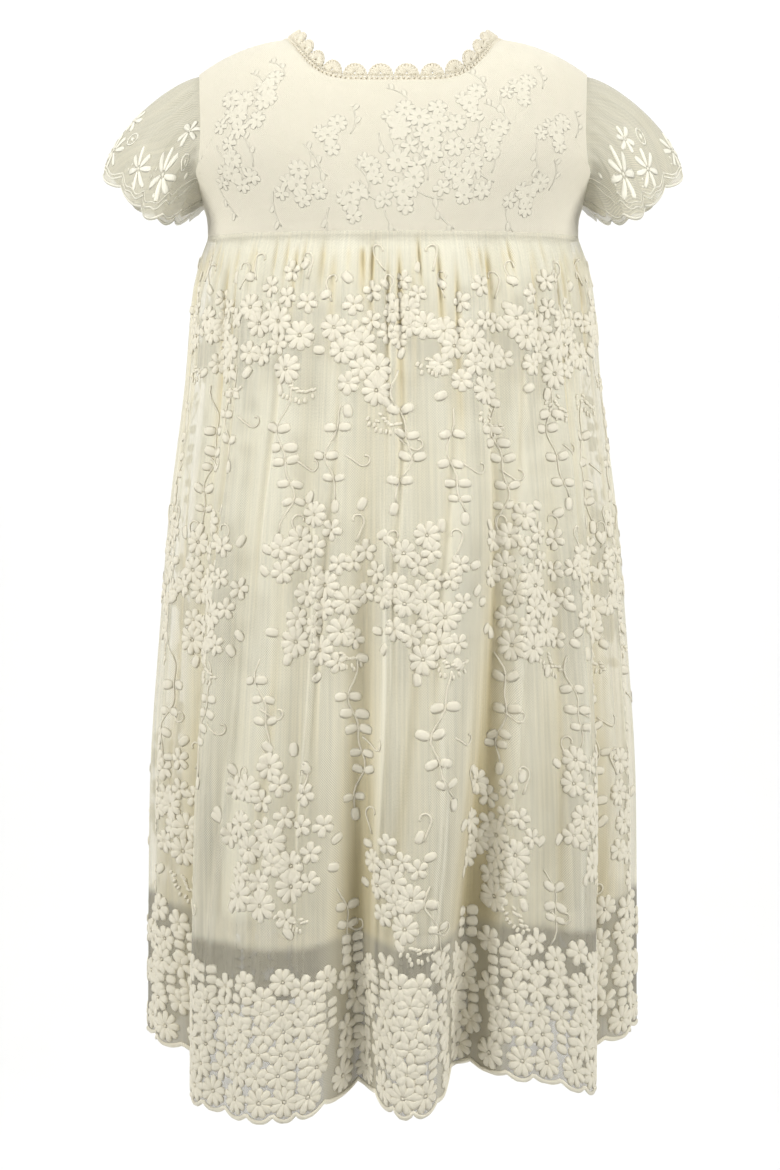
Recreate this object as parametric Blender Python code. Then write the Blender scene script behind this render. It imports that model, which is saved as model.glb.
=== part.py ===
"""A small child's lace dress, in its worn shape with no wearer: a short yoke over a gathered skirt of
embroidered net, a cotton lining skirt inside it, flutter sleeves of net and a crochet edging round the neck.

X runs across the dress, towards the wearer's left. The front faces -Y and Z is up. The origin lies midway
between the two neck points of the shoulders, where a wearer holds the dress up. Every size is in metres.
"""

import math

import bmesh
import bpy
from mathutils import Vector

# Cloth thicknesses, and the gap that parts two pieces at a seam
SEAM_GAP = 0.0003
YOKE_WALL = 0.0022
NET_WALL = 0.0012
LINING_WALL = 0.0012
EDGING_WALL = 0.0018

# The yoke, from the neck points down to the high waist seam
WAIST_DROP = 0.110
WAIST_HALF_WIDTH = 0.102
CHEST_HALF_WIDTH = 0.120
WAIST_FRONT_DEPTH = 0.080
WAIST_BACK_DEPTH = 0.076
SHOULDER_FALL = 0.0195
SHOULDER_FLAT_HALF_WIDTH = 0.048
SHOULDER_TIP_HALF_WIDTH = 0.107
SHOULDER_FALL_POWER = 2.2

# The neckline, a wide shallow U in front and a shallower one behind
NECK_HALF_WIDTH = 0.061
FRONT_NECK_DROP = 0.0272
BACK_NECK_DROP = 0.0245
NECK_CURVE_POWER = 5.0
SHOULDER_SEAM_CLIMB = 90.0

# The back opening laps by this much past the middle on each side, and closes with small round buttons
LAP = 0.006
LAP_RISE_START = 0.0125
LAP_RISE_WIDTH = 0.008
BUTTON_DROPS = (0.037, 0.066, 0.095)
BUTTON_RADIUS = 0.0047
BUTTON_THICKNESS = 0.0026

# The crochet edging: a low heading under a row of shells
SHELLS = 26
SHELL_HEIGHT = 0.0110
SHELL_NOTCH_HEIGHT = 0.0058
HEADING_HEIGHT = 0.0030
EDGING_UPWARD_LEAN = 0.6

# The skirts, measured down from the waist seam
SKIRT_LENGTH = 0.461
LINING_LENGTH = 0.368
GATHERS_A_PANEL = 32
SCALLOPS_A_PANEL = 32
SCALLOP_DEPTH = 0.0036
HEM_RISE_IN_FOLD = 0.20
LINING_FOLD_SHARE = 0.60

# The outline of the skirt's ridges: how far below the waist, half the width, the depth in front and behind
SKIRT_RINGS = (
    # drop, half_width, front_depth, back_depth
    (0.000, 0.1046, 0.0830, 0.0790),
    (0.012, 0.1078, 0.0885, 0.0835),
    (0.030, 0.1118, 0.0950, 0.0890),
    (0.080, 0.1163, 0.1060, 0.0980),
    (0.150, 0.1253, 0.1180, 0.1075),
    (0.222, 0.1317, 0.1275, 0.1155),
    (0.292, 0.1370, 0.1360, 0.1220),
    (0.363, 0.1390, 0.1420, 0.1270),
    (0.420, 0.1400, 0.1455, 0.1300),
    (0.470, 0.1410, 0.1475, 0.1325),
)

# How deep the small gathers are below the waist seam
GATHERS = (
    # drop, depth
    (0.000, 0.0022),
    (0.012, 0.0034),
    (0.032, 0.0028),
    (0.062, 0.0012),
    (0.100, 0.0000),
    (0.500, 0.0000),
)

# How far the lining hangs inside the ridges of the net
LINING_INSETS = (
    # drop, inset
    (0.000, 0.0060),
    (0.012, 0.0082),
    (0.030, 0.0100),
    (0.100, 0.0125),
    (0.250, 0.0175),
    (0.400, 0.0215),
)

# The deep soft folds from the waist to the hem. Angles go round from the middle of the front, in degrees
FOLDS = (
    # waist_angle, hem_angle, half_width, waist_depth, middle_depth, hem_depth
    (-78.0, -81.0, 6.0, 0.0010, 0.0050, 0.0110),
    (-55.0, -62.0, 6.5, 0.0020, 0.0095, 0.0270),
    (-38.0, -41.0, 5.0, 0.0015, 0.0050, 0.0030),
    (-22.0, -24.0, 5.5, 0.0015, 0.0065, 0.0050),
    (-6.0, -9.0, 6.5, 0.0025, 0.0105, 0.0330),
    (9.0, 5.0, 5.0, 0.0015, 0.0045, 0.0030),
    (31.0, 19.0, 7.0, 0.0025, 0.0115, 0.0390),
    (46.0, 35.0, 6.0, 0.0015, 0.0055, 0.0060),
    (63.0, 62.0, 6.5, 0.0020, 0.0095, 0.0270),
    (79.0, 81.0, 6.0, 0.0010, 0.0050, 0.0110),
    (105.0, 103.0, 7.0, 0.0020, 0.0080, 0.0200),
    (121.0, 122.0, 5.5, 0.0015, 0.0055, 0.0060),
    (138.0, 142.0, 7.0, 0.0020, 0.0095, 0.0260),
    (155.0, 158.0, 5.0, 0.0015, 0.0050, 0.0040),
    (171.0, 173.0, 6.5, 0.0025, 0.0100, 0.0240),
    (188.0, 186.0, 5.5, 0.0015, 0.0050, 0.0040),
    (204.0, 201.0, 7.0, 0.0020, 0.0100, 0.0280),
    (221.0, 219.0, 5.0, 0.0015, 0.0055, 0.0050),
    (238.0, 235.0, 7.0, 0.0020, 0.0090, 0.0240),
    (256.0, 257.0, 6.0, 0.0015, 0.0060, 0.0140),
)
FOLD_MIDDLE_SHARE = 0.42

# How far the hem hangs above its lowest level, round the skirt
HEM_RISES = (
    # angle, rise
    (-90.0, 0.014),
    (-72.0, 0.018),
    (-58.0, 0.001),
    (-45.0, -0.004),
    (-25.0, -0.005),
    (-9.0, 0.006),
    (5.0, 0.000),
    (20.0, 0.014),
    (35.0, 0.013),
    (50.0, 0.002),
    (58.0, 0.003),
    (72.0, 0.022),
    (90.0, 0.018),
    (120.0, 0.008),
    (150.0, 0.010),
    (190.0, 0.005),
    (235.0, 0.010),
    (270.0, 0.014),
)

# The armhole's edge on the yoke: how far it climbs, in degrees, and how far round the side it is
ARMHOLE = (
    # climb, side_angle
    (0.0, 90.0),
    (6.0, 90.0),
    (10.0, 81.5),
    (16.0, 71.0),
    (23.0, 64.0),
    (32.0, 60.5),
    (60.0, 61.5),
    (90.0, 63.1),
)

# The free edge of the left sleeve, from the front of the underarm over the shoulder to the back
SLEEVE_HEM = (
    # share, across, backward, up
    (0.00, 0.1095, -0.0215, -0.0950),
    (0.12, 0.1170, -0.0360, -0.0965),
    (0.25, 0.1300, -0.0430, -0.0975),
    (0.38, 0.1460, -0.0330, -0.0850),
    (0.50, 0.1570, 0.0000, -0.0710),
    (0.62, 0.1460, 0.0330, -0.0840),
    (0.75, 0.1300, 0.0420, -0.0955),
    (0.88, 0.1170, 0.0350, -0.0955),
    (1.00, 0.1095, 0.0210, -0.0945),
)
SLEEVE_ROOT = 0.11
SLEEVE_SCALLOPS = 10
SLEEVE_SCALLOP_DEPTH = 0.0040
SLEEVE_PUFF = 0.009
SLEEVE_ROUNDNESS = 0.30
SLEEVE_RIPPLES = 5
SLEEVE_RIPPLE_DEPTH = 0.0022

# How finely the solids are faceted
SEAM_COLUMNS = 5
NECK_COLUMNS = 12
YOKE_ROWS = 9
COLUMNS_A_GATHER = 4
COLUMNS_A_SCALLOP = 4
COLUMNS_A_SHELL = 5
SLEEVE_ROWS = 4
LINING_COLUMNS = 44
LINING_DROPS = (0.0, 0.030, 0.080, 0.145, 0.215, 0.290)
GATHERED_DROPS = (0.0, 0.012, 0.032)
SMOOTH_DROPS = (0.062, 0.115, 0.180, 0.255, 0.330, 0.397)
LAST_DROP_ABOVE_HEM = 0.018
CURVE_SAMPLES = 240
STEP = 1e-4

COLOURS = {
    # material: (red, green, blue), roughness
    "embroidered_net": ((0.66, 0.63, 0.52), 0.85),
    "cotton_lining": ((0.80, 0.79, 0.68), 0.90),
    "yoke_lace": ((0.81, 0.77, 0.62), 0.88),
    "crochet_cotton": ((0.84, 0.80, 0.66), 0.92),
    "pearl_button": ((0.86, 0.83, 0.73), 0.35),
}


def clear_scene():
    for old in list(bpy.data.objects):
        bpy.data.objects.remove(old, do_unlink=True)


def material(name):
    """The named cloth or button finish, made the first time that it is asked for."""
    found = bpy.data.materials.get(name)
    if found:
        return found
    colour, roughness = COLOURS[name]
    made = bpy.data.materials.new(name)
    made.use_nodes = True
    shader = made.node_tree.nodes["Principled BSDF"]
    shader.inputs["Base Color"].default_value = (*colour, 1.0)
    shader.inputs["Roughness"].default_value = roughness
    shader.inputs["Metallic"].default_value = 0.0
    return made


def smooth(share):
    """0 up to 1, with no corner at either end."""
    share = min(max(share, 0.0), 1.0)
    return share * share * (3.0 - 2.0 * share)


def from_table(rows, key):
    """The other columns of a table at a key between its rows, along a smooth curve through them."""
    key = min(max(key, rows[0][0]), rows[-1][0])
    last = len(rows) - 1
    i = max(k for k in range(last) if rows[k][0] <= key)
    before, low, high, after = rows[max(i - 1, 0)], rows[i], rows[i + 1], rows[min(i + 2, last)]
    span = high[0] - low[0]
    t = (key - low[0]) / span
    found = []
    for column in range(1, len(low)):
        slope_low = (high[column] - before[column]) / (high[0] - before[0]) * span
        slope_high = (after[column] - low[column]) / (after[0] - low[0]) * span
        found.append(
            (2 * t**3 - 3 * t**2 + 1) * low[column]
            + (t**3 - 2 * t**2 + t) * slope_low
            + (3 * t**2 - 2 * t**3) * high[column]
            + (t**3 - t**2) * slope_high
        )
    return found


def faced(point, normal, thickness):
    """The outer and the inner point of a wall at one point of the cloth."""
    return point + normal * (thickness / 2), point - normal * (thickness / 2)


def stitched(low, high):
    """Faces that join two rows of points, with the same count of spans, or one with twice the other's."""
    faces = []
    if len(low) == len(high):
        for i in range(len(low) - 1):
            faces.append((low[i], low[i + 1], high[i + 1], high[i]))
        return faces
    fine, coarse = (low, high) if len(low) > len(high) else (high, low)
    for i in range(len(coarse) - 1):
        first, middle, last = fine[2 * i : 2 * i + 3]
        faces.append((first, middle, coarse[i]))
        faces.append((middle, coarse[i + 1], coarse[i]))
        faces.append((middle, last, coarse[i + 1]))
    return faces


def cloth(name, finish, rows):
    """One closed wall of cloth from its rows of (outer point, inner point), top to bottom."""
    points, outer, inner = [], [], []
    for row in rows:
        for side, layer in ((0, outer), (1, inner)):
            layer.append(range(len(points), len(points) + len(row)))
            points.extend(pair[side] for pair in row)
    faces = []
    for layer in (outer, inner):
        for low, high in zip(layer, layer[1:]):
            faces.extend(stitched(low, high))
    for edge in (0, -1):
        faces.extend(stitched(outer[edge], inner[edge]))
        faces.extend(stitched([row[edge] for row in outer], [row[edge] for row in inner]))
    mesh = bpy.data.meshes.new(name)
    mesh.from_pydata([tuple(point) for point in points], [], faces)
    shell = bmesh.new()
    shell.from_mesh(mesh)
    bmesh.ops.recalc_face_normals(shell, faces=shell.faces)
    shell.to_mesh(mesh)
    shell.free()
    mesh.materials.append(material(finish))
    mesh.shade_smooth()
    made = bpy.data.objects.new(name, mesh)
    bpy.context.scene.collection.objects.link(made)
    return made


# The yoke is a rounded shell. A place on it has a side angle, 0 in the middle and 90 at the side seam, and a
# climb, which is 0 at the front waist, 90 along the top of the shoulders and 180 at the back waist.


def ridge_height(across):
    """The height of the top of the shoulder at this distance from the middle."""
    past = (abs(across) - SHOULDER_FLAT_HALF_WIDTH) / (SHOULDER_TIP_HALF_WIDTH - SHOULDER_FLAT_HALF_WIDTH)
    return -SHOULDER_FALL * max(past, 0.0) ** SHOULDER_FALL_POWER


def yoke_half_width(climb):
    level = min(climb, 180.0 - climb)
    return WAIST_HALF_WIDTH + (CHEST_HALF_WIDTH - WAIST_HALF_WIDTH) * smooth((level - 5.0) / 25.0)


def yoke_point(side, climb):
    side_angle, rise = math.radians(side), math.radians(climb)
    depth = WAIST_FRONT_DEPTH if climb < 90.0 else WAIST_BACK_DEPTH
    across = yoke_half_width(climb) * math.sin(side_angle)
    height = (ridge_height(across) + WAIST_DROP) * math.sin(rise) - WAIST_DROP
    return Vector((across, -depth * math.cos(rise) * math.cos(side_angle), height))


def yoke_normal(side, climb):
    """The direction straight out of the yoke."""
    slope = 0.01
    across = yoke_point(side + slope, climb) - yoke_point(side - slope, climb)
    upward = yoke_point(side, climb + slope) - yoke_point(side, climb - slope)
    return across.cross(upward).normalized()


def armhole_side(climb):
    return from_table(ARMHOLE, min(climb, 180.0 - climb))[0]


def neck_climb(drop):
    """How far the middle of the yoke climbs to come this far below the neck points."""
    return math.degrees(math.asin((WAIST_DROP - drop) / WAIST_DROP))


FRONT_NECK_CLIMB = neck_climb(FRONT_NECK_DROP)
BACK_NECK_CLIMB = 180.0 - neck_climb(BACK_NECK_DROP)
NECK_POINT_SIDE = math.degrees(math.asin(NECK_HALF_WIDTH / CHEST_HALF_WIDTH))
SIDE_SEAM_ANGLE = 90.0 - math.degrees(0.6 * SEAM_GAP / WAIST_BACK_DEPTH)


def neck_side(climb):
    """The side angle of the neckline at this climb."""
    if climb < 90.0:
        share = (climb - FRONT_NECK_CLIMB) / (90.0 - FRONT_NECK_CLIMB)
    else:
        share = (BACK_NECK_CLIMB - climb) / (BACK_NECK_CLIMB - 90.0)
    return NECK_POINT_SIDE * max(share, 0.0) ** (1.0 / NECK_CURVE_POWER)


def neck_places(start, end, count=CURVE_SAMPLES):
    """Places along one side of the neckline between two climbs, closer together where it bends."""
    places = []
    for i in range(count + 1):
        share = i / count
        eased = 0.5 - 0.5 * math.cos(math.pi * share)
        climb = start + (end - start) * eased
        places.append((neck_side(climb), climb))
    return places


def even_places(places, count):
    """count + 1 places spread evenly along a path over the yoke."""
    points = [yoke_point(*place) for place in places]
    run = [0.0]
    for low, high in zip(points, points[1:]):
        run.append(run[-1] + (high - low).length)
    found, k = [], 0
    for i in range(count + 1):
        target = run[-1] * i / count
        while k < len(run) - 2 and run[k + 1] < target:
            k += 1
        t = (target - run[k]) / max(run[k + 1] - run[k], 1e-12)
        found.append(tuple(a + (b - a) * t for a, b in zip(places[k], places[k + 1])))
    return found


def straight(start, end):
    steps = CURVE_SAMPLES // 4
    return [tuple(a + (b - a) * i / steps for a, b in zip(start, end)) for i in range(steps + 1)]


def side_limit(climb):
    """The side angle of a panel's outer edge, along the armhole and then the side seam."""
    return min(armhole_side(climb), SIDE_SEAM_ANGLE)


def column(place, waist):
    """Places from a panel's top edge down to the waist, at one share of the way out to the armhole."""
    side, climb = place
    share = side / side_limit(climb)
    climbs = [climb + (waist - climb) * j / YOKE_ROWS for j in range(YOKE_ROWS + 1)]
    return [(share * side_limit(level), level) for level in climbs]


def past_seam(side):
    """The climb of the back's edge where it meets the front along the shoulder, at this side angle."""
    degree = yoke_point(side, SHOULDER_SEAM_CLIMB + 0.5) - yoke_point(side, SHOULDER_SEAM_CLIMB - 0.5)
    return SHOULDER_SEAM_CLIMB + SEAM_GAP / degree.length


def panel_edge(places, lift=lambda point: 0.0):
    """The wall's outer and inner points along an edge of a panel."""
    pairs = []
    for place in places:
        point, normal = yoke_point(*place), yoke_normal(*place)
        pairs.append(faced(point + normal * lift(point), normal, YOKE_WALL))
    return pairs


def front_neck():
    """The places of the front's neckline, from the wearer's right seam to the left one."""
    left = neck_places(FRONT_NECK_CLIMB, SHOULDER_SEAM_CLIMB)
    right = [(-side, climb) for side, climb in reversed(left)]
    return even_places(right + left[1:], 2 * NECK_COLUMNS)


def back_neck(sign):
    """The places of a back half's neckline, from its lapping edge to the shoulder seam."""
    seam = past_seam(neck_side(SHOULDER_SEAM_CLIMB))
    past_middle = -sign * math.degrees(math.asin(LAP / yoke_half_width(BACK_NECK_CLIMB)))
    lap = straight((past_middle, BACK_NECK_CLIMB), (0.0, BACK_NECK_CLIMB))
    neck = [(sign * side, climb) for side, climb in neck_places(BACK_NECK_CLIMB, seam)]
    return even_places(lap[:-1] + neck, NECK_COLUMNS)


def shoulder_tip(sign, back):
    climb = past_seam(armhole_side(SHOULDER_SEAM_CLIMB)) if back else SHOULDER_SEAM_CLIMB
    return (sign * armhole_side(SHOULDER_SEAM_CLIMB), climb)


def make_yoke_front():
    """The front of the yoke, from the shoulder seams and the neckline down to the waist."""
    neck = front_neck()
    right_seam = even_places(straight(shoulder_tip(-1, False), neck[0]), SEAM_COLUMNS)
    left_seam = even_places(straight(neck[-1], shoulder_tip(1, False)), SEAM_COLUMNS)
    columns = [column(place, 0.0) for place in right_seam[:-1] + neck + left_seam[1:]]
    return cloth("yoke_front", "yoke_lace", [panel_edge(row) for row in zip(*columns)])


def lap_lift(across, sign):
    """How far the lapping back half stands off the other one at this distance from the middle."""
    past = (LAP_RISE_START + LAP_RISE_WIDTH - sign * across) / LAP_RISE_WIDTH
    return (YOKE_WALL + 1.5 * SEAM_GAP) * smooth(past)


def make_yoke_back(name, sign, laps):
    """One half of the back of the yoke. One half laps the other down the middle."""

    def lift(point):
        return lap_lift(point.x, sign) if laps else 0.0

    neck = back_neck(sign)
    seam = even_places(straight(neck[-1], shoulder_tip(sign, True)), SEAM_COLUMNS)
    columns = [column(place, 180.0) for place in neck + seam[1:]]
    return cloth(name, "yoke_lace", [panel_edge(row, lift) for row in zip(*columns)])


def along_edge(pairs, share):
    """The outer and inner points at a share of the way along a panel's edge."""
    lengths = [(high[0] - low[0]).length for low, high in zip(pairs, pairs[1:])]
    target, k = share * sum(lengths), 0
    while k < len(lengths) - 1 and target > lengths[k]:
        target -= lengths[k]
        k += 1
    t = min(target / lengths[k], 1.0)
    outer, inner = (low.lerp(high, t) for low, high in zip(pairs[k], pairs[k + 1]))
    return outer, inner


def neck_ring():
    """The yoke's edge round the neck, from the middle of the back by the wearer's right and front."""
    right = [place for place in back_neck(-1) if place[0] < 0.0]
    left = [place for place in back_neck(1) if place[0] > 0.0]
    lapped = panel_edge(left, lambda point: lap_lift(point.x, 1))
    return panel_edge(right) + panel_edge(front_neck()) + lapped[::-1]


def make_neck_edging():
    """The crochet edging: shells in a row on a low heading, standing up and in from the neckline."""
    ring = neck_ring()
    count = SHELLS * COLUMNS_A_SHELL
    rows = [[], [], []]
    for i in range(count + 1):
        outer, inner = along_edge(ring, i / count)
        before, after = along_edge(ring, max(i - 1, 0) / count), along_edge(ring, min(i + 1, count) / count)
        along = (after[0] - before[0]).normalized()
        out = (outer - inner).normalized()
        inward = out.cross(along).normalized()
        stand = (inward + Vector((0.0, 0.0, EDGING_UPWARD_LEAN))).normalized()
        facing = (out - stand * out.dot(stand)).normalized()
        shell = abs(math.sin(math.pi * i / COLUMNS_A_SHELL)) ** 0.6
        height = SHELL_NOTCH_HEIGHT + (SHELL_HEIGHT - SHELL_NOTCH_HEIGHT) * shell
        root = (outer + inner) / 2 + inward * SEAM_GAP
        rows[2].append(faced(root, out, EDGING_WALL))
        rows[1].append(faced(root + stand * HEADING_HEIGHT, facing, EDGING_WALL))
        rows[0].append(faced(root + stand * height, facing, EDGING_WALL))
    return cloth("neck_edging", "crochet_cotton", rows)


def armhole_ring():
    """The yoke's edge round the left arm, from the front side seam over the shoulder to the back one."""
    front = column(shoulder_tip(1, False), 0.0)
    return panel_edge(front[::-1]) + panel_edge(column(shoulder_tip(1, True), 180.0))


def sleeve_root(ring, share):
    """Where the sleeve starts at the armhole: the point, the yoke's normal and the way out of the seam."""
    place = SLEEVE_ROOT + (1.0 - 2 * SLEEVE_ROOT) * share
    outer, inner = along_edge(ring, place)
    before, after = along_edge(ring, place - 0.01), along_edge(ring, place + 0.01)
    normal = (outer - inner).normalized()
    outward = (after[0] - before[0]).cross(normal).normalized()
    return (outer + inner) / 2 + outward * SEAM_GAP, normal, outward


def sleeve_point(ring, share, down):
    """A point of the left sleeve: share runs round the armhole, and down goes from the seam to the edge."""
    root, _, outward = sleeve_root(ring, share)
    hem = Vector(from_table(SLEEVE_HEM, share))
    fullness = math.sin(math.pi * share)
    scallop = abs(math.sin(math.pi * SLEEVE_SCALLOPS * share)) ** 0.7
    hem = hem + (hem - root).normalized() * SLEEVE_SCALLOP_DEPTH * scallop
    reach = (hem - root).length
    puffed = outward * (SLEEVE_ROUNDNESS * reach) + Vector((0.0, 0.0, SLEEVE_PUFF * fullness))
    near, far = root + puffed, hem + Vector((0.0, 0.0, SLEEVE_ROUNDNESS * reach)) * fullness
    keep = 1.0 - down
    point = keep**3 * root + 3 * keep**2 * down * near + 3 * keep * down**2 * far + down**3 * hem
    ripple = math.sin(2 * math.pi * SLEEVE_RIPPLES * share) * SLEEVE_RIPPLE_DEPTH * down**1.5 * fullness
    turn = math.pi * (share - 0.5)
    away = Vector((math.cos(turn), math.sin(turn), 0.0))
    return point + away * ripple


def make_sleeve(name, sign):
    """A flutter sleeve: one curved piece of net round the armhole, with a scalloped edge."""
    ring = armhole_ring()
    columns = SLEEVE_SCALLOPS * COLUMNS_A_SCALLOP
    rows = []
    for j in range(SLEEVE_ROWS + 1):
        down = j / SLEEVE_ROWS
        pairs = []
        for i in range(columns + 1):
            share = i / columns
            point = sleeve_point(ring, share, down)
            normal = sleeve_root(ring, share)[1]
            wall = YOKE_WALL
            if j > 0:
                after = sleeve_point(ring, min(share + STEP, 1.0), down)
                along = after - sleeve_point(ring, max(share - STEP, 0.0), down)
                lower = sleeve_point(ring, share, min(down + STEP, 1.0))
                fall = lower - sleeve_point(ring, share, down - STEP)
                normal = fall.cross(along).normalized()
                wall = NET_WALL
            pairs.append(faced(point, normal, wall))
        rows.append([tuple(Vector((sign * p.x, p.y, p.z)) for p in pair) for pair in pairs])
    return cloth(name, "embroidered_net", rows)


def fold_depth(angle, drop):
    """How far the deep folds take the net in from its ridges, at this angle round the skirt."""
    share = drop / SKIRT_LENGTH
    depth = 0.0
    for waist_angle, hem_angle, half_width, waist_depth, middle_depth, hem_depth in FOLDS:
        centre = waist_angle + (hem_angle - waist_angle) * smooth(share)
        off = (angle - centre + 180.0) % 360.0 - 180.0
        spread = half_width * (0.70 + 0.35 * share)
        if abs(off) > 4.0 * spread:
            continue
        profile = ((0.0, waist_depth), (FOLD_MIDDLE_SHARE, middle_depth), (1.0, hem_depth))
        depth += from_table(profile, share)[0] * math.exp(-((off / spread) ** 2))
    return depth


def panel_angle(share, back):
    """The angle round the skirt at a share of the way across a panel. The gathers are spaced unevenly."""
    uneven = share + 0.0060 * math.sin(6 * math.pi * share) + 0.0035 * math.sin(14 * math.pi * share)
    edge = math.degrees(0.8 * SEAM_GAP / WAIST_FRONT_DEPTH)
    return -90.0 + edge + (180.0 - 2 * edge) * uneven + (180.0 if back else 0.0)


def skirt_point(angle, drop, inset):
    """A point on the skirt's outline at this angle and drop, taken in by inset."""
    half_width, front, behind = from_table(SKIRT_RINGS, drop)
    turn = math.radians(angle)
    depth = front if math.cos(turn) > 0 else behind
    out = Vector((math.sin(turn) / half_width, -math.cos(turn) / depth, 0.0)).normalized()
    point = Vector((half_width * math.sin(turn), -depth * math.cos(turn), -WAIST_DROP - SEAM_GAP - drop))
    return point - out * inset


def net_point(share, drop, back):
    """A point of the net skirt. The small gathers fade out below the waist and the deep folds take over."""
    angle = panel_angle(share, back)
    uneven = 1.0 + 0.25 * math.sin(10 * math.pi * share)
    gather = uneven * max(from_table(GATHERS, drop)[0], 0.0)
    gather *= 0.5 - 0.5 * math.cos(2 * math.pi * GATHERS_A_PANEL * share)
    return skirt_point(angle, drop, gather + fold_depth(angle, drop))


def lining_point(share, drop, back):
    angle = panel_angle(share, back)
    inset = from_table(LINING_INSETS, drop)[0]
    return skirt_point(angle, drop, inset + LINING_FOLD_SHARE * fold_depth(angle, drop))


def hem_rise(share, back):
    """How much higher than its lowest level the hem hangs, and a little more where the cloth folds in."""
    angle = panel_angle(share, back)
    return from_table(HEM_RISES, angle)[0] + HEM_RISE_IN_FOLD * fold_depth(angle, SKIRT_LENGTH)


def hem_drop(share, back):
    """The scalloped hem."""
    scallop = SCALLOP_DEPTH * abs(math.sin(math.pi * SCALLOPS_A_PANEL * share)) ** 0.7
    return SKIRT_LENGTH - SCALLOP_DEPTH + scallop - hem_rise(share, back)


def skirt_row(point_at, count, drop_at, back, thickness):
    """One row of a skirt panel's wall, with its normals taken from the cloth's own slope."""
    pairs = []
    for i in range(count + 1):
        share = i / count
        drop = drop_at(share)
        upper = max(drop - STEP, 0.0)
        across = point_at(share + STEP, drop, back) - point_at(share - STEP, drop, back)
        fall = point_at(share, upper + 2 * STEP, back) - point_at(share, upper, back)
        normal = fall.cross(across)
        if drop == 0.0:
            normal.z = 0.0
        pairs.append(faced(point_at(share, drop, back), normal.normalized(), thickness))
    return pairs


def make_net_skirt(name, back):
    """A panel of the gathered net skirt: fine at the gathers and at the scallops, coarser between."""
    fine = GATHERS_A_PANEL * COLUMNS_A_GATHER
    last = SKIRT_LENGTH - LAST_DROP_ABOVE_HEM
    levels = [(fine, drop) for drop in GATHERED_DROPS]
    levels += [(fine // 2, drop) for drop in SMOOTH_DROPS]
    levels += [(fine, last)]
    rows = []
    for count, drop in levels:
        lift = (drop / SKIRT_LENGTH) ** 3

        def drop_at(share, drop=drop, lift=lift):
            return drop - lift * hem_rise(share, back)

        rows.append(skirt_row(net_point, count, drop_at, back, NET_WALL))
    rows.append(skirt_row(net_point, fine, lambda share: hem_drop(share, back), back, NET_WALL))
    return cloth(name, "embroidered_net", rows)


def make_lining(name, back):
    """A panel of the plain cotton lining skirt, which stops short of the net's border."""
    rows = []
    for drop in (*LINING_DROPS, LINING_LENGTH):
        rows.append(skirt_row(lining_point, LINING_COLUMNS, lambda share, d=drop: d, back, LINING_WALL))
    return cloth(name, "cotton_lining", rows)


def make_button(number, drop):
    """A small round pearl button with a rolled rim, on the lapped edge in the middle of the back."""
    climb = 180.0 - neck_climb(drop)
    normal = yoke_normal(0.0, climb)
    above_cloth = lap_lift(0.0, 1) + YOKE_WALL / 2 + SEAM_GAP
    seat = yoke_point(0.0, climb) + normal * above_cloth
    bpy.ops.mesh.primitive_cylinder_add(vertices=20, radius=BUTTON_RADIUS, depth=BUTTON_THICKNESS)
    button = bpy.context.object
    button.name = f"button_{number}"
    button.data.name = button.name
    button.location = seat + normal * (BUTTON_THICKNESS / 2)
    button.rotation_mode = "QUATERNION"
    button.rotation_quaternion = normal.to_track_quat("Z", "Y")
    rim = button.modifiers.new("rolled_rim", "BEVEL")
    rim.width = BUTTON_THICKNESS * 0.3
    rim.segments = 1
    rim.limit_method = "ANGLE"
    button.data.materials.append(material("pearl_button"))
    button.data.shade_smooth()
    return button


def main():
    clear_scene()
    make_yoke_front()
    make_yoke_back("yoke_back_left", 1, True)
    make_yoke_back("yoke_back_right", -1, False)
    make_neck_edging()
    make_sleeve("sleeve_left", 1)
    make_sleeve("sleeve_right", -1)
    make_net_skirt("net_skirt_front", False)
    make_net_skirt("net_skirt_back", True)
    make_lining("lining_front", False)
    make_lining("lining_back", True)
    for number, drop in enumerate(BUTTON_DROPS, 1):
        make_button(number, drop)


main()
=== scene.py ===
import math

import bpy
import numpy as np
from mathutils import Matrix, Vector


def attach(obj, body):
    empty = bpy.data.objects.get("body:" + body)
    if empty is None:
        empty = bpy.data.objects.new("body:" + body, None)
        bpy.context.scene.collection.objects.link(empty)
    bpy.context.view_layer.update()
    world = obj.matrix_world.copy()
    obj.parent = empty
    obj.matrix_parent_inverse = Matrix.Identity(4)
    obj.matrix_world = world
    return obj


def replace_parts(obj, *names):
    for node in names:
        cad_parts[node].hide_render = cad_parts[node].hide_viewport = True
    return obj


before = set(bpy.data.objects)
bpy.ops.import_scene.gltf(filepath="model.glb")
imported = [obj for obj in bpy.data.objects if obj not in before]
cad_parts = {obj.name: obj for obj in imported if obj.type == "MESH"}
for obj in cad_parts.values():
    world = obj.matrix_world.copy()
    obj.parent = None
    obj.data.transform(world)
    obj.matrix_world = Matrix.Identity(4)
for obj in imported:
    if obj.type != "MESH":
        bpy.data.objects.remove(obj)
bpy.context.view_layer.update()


# The yoke
# The short bodice under the neck: a front and two back halves, each cut from lace and lined with the same
# cotton, sewn at the shoulders and sides. The back halves lap in the middle and button.

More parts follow.
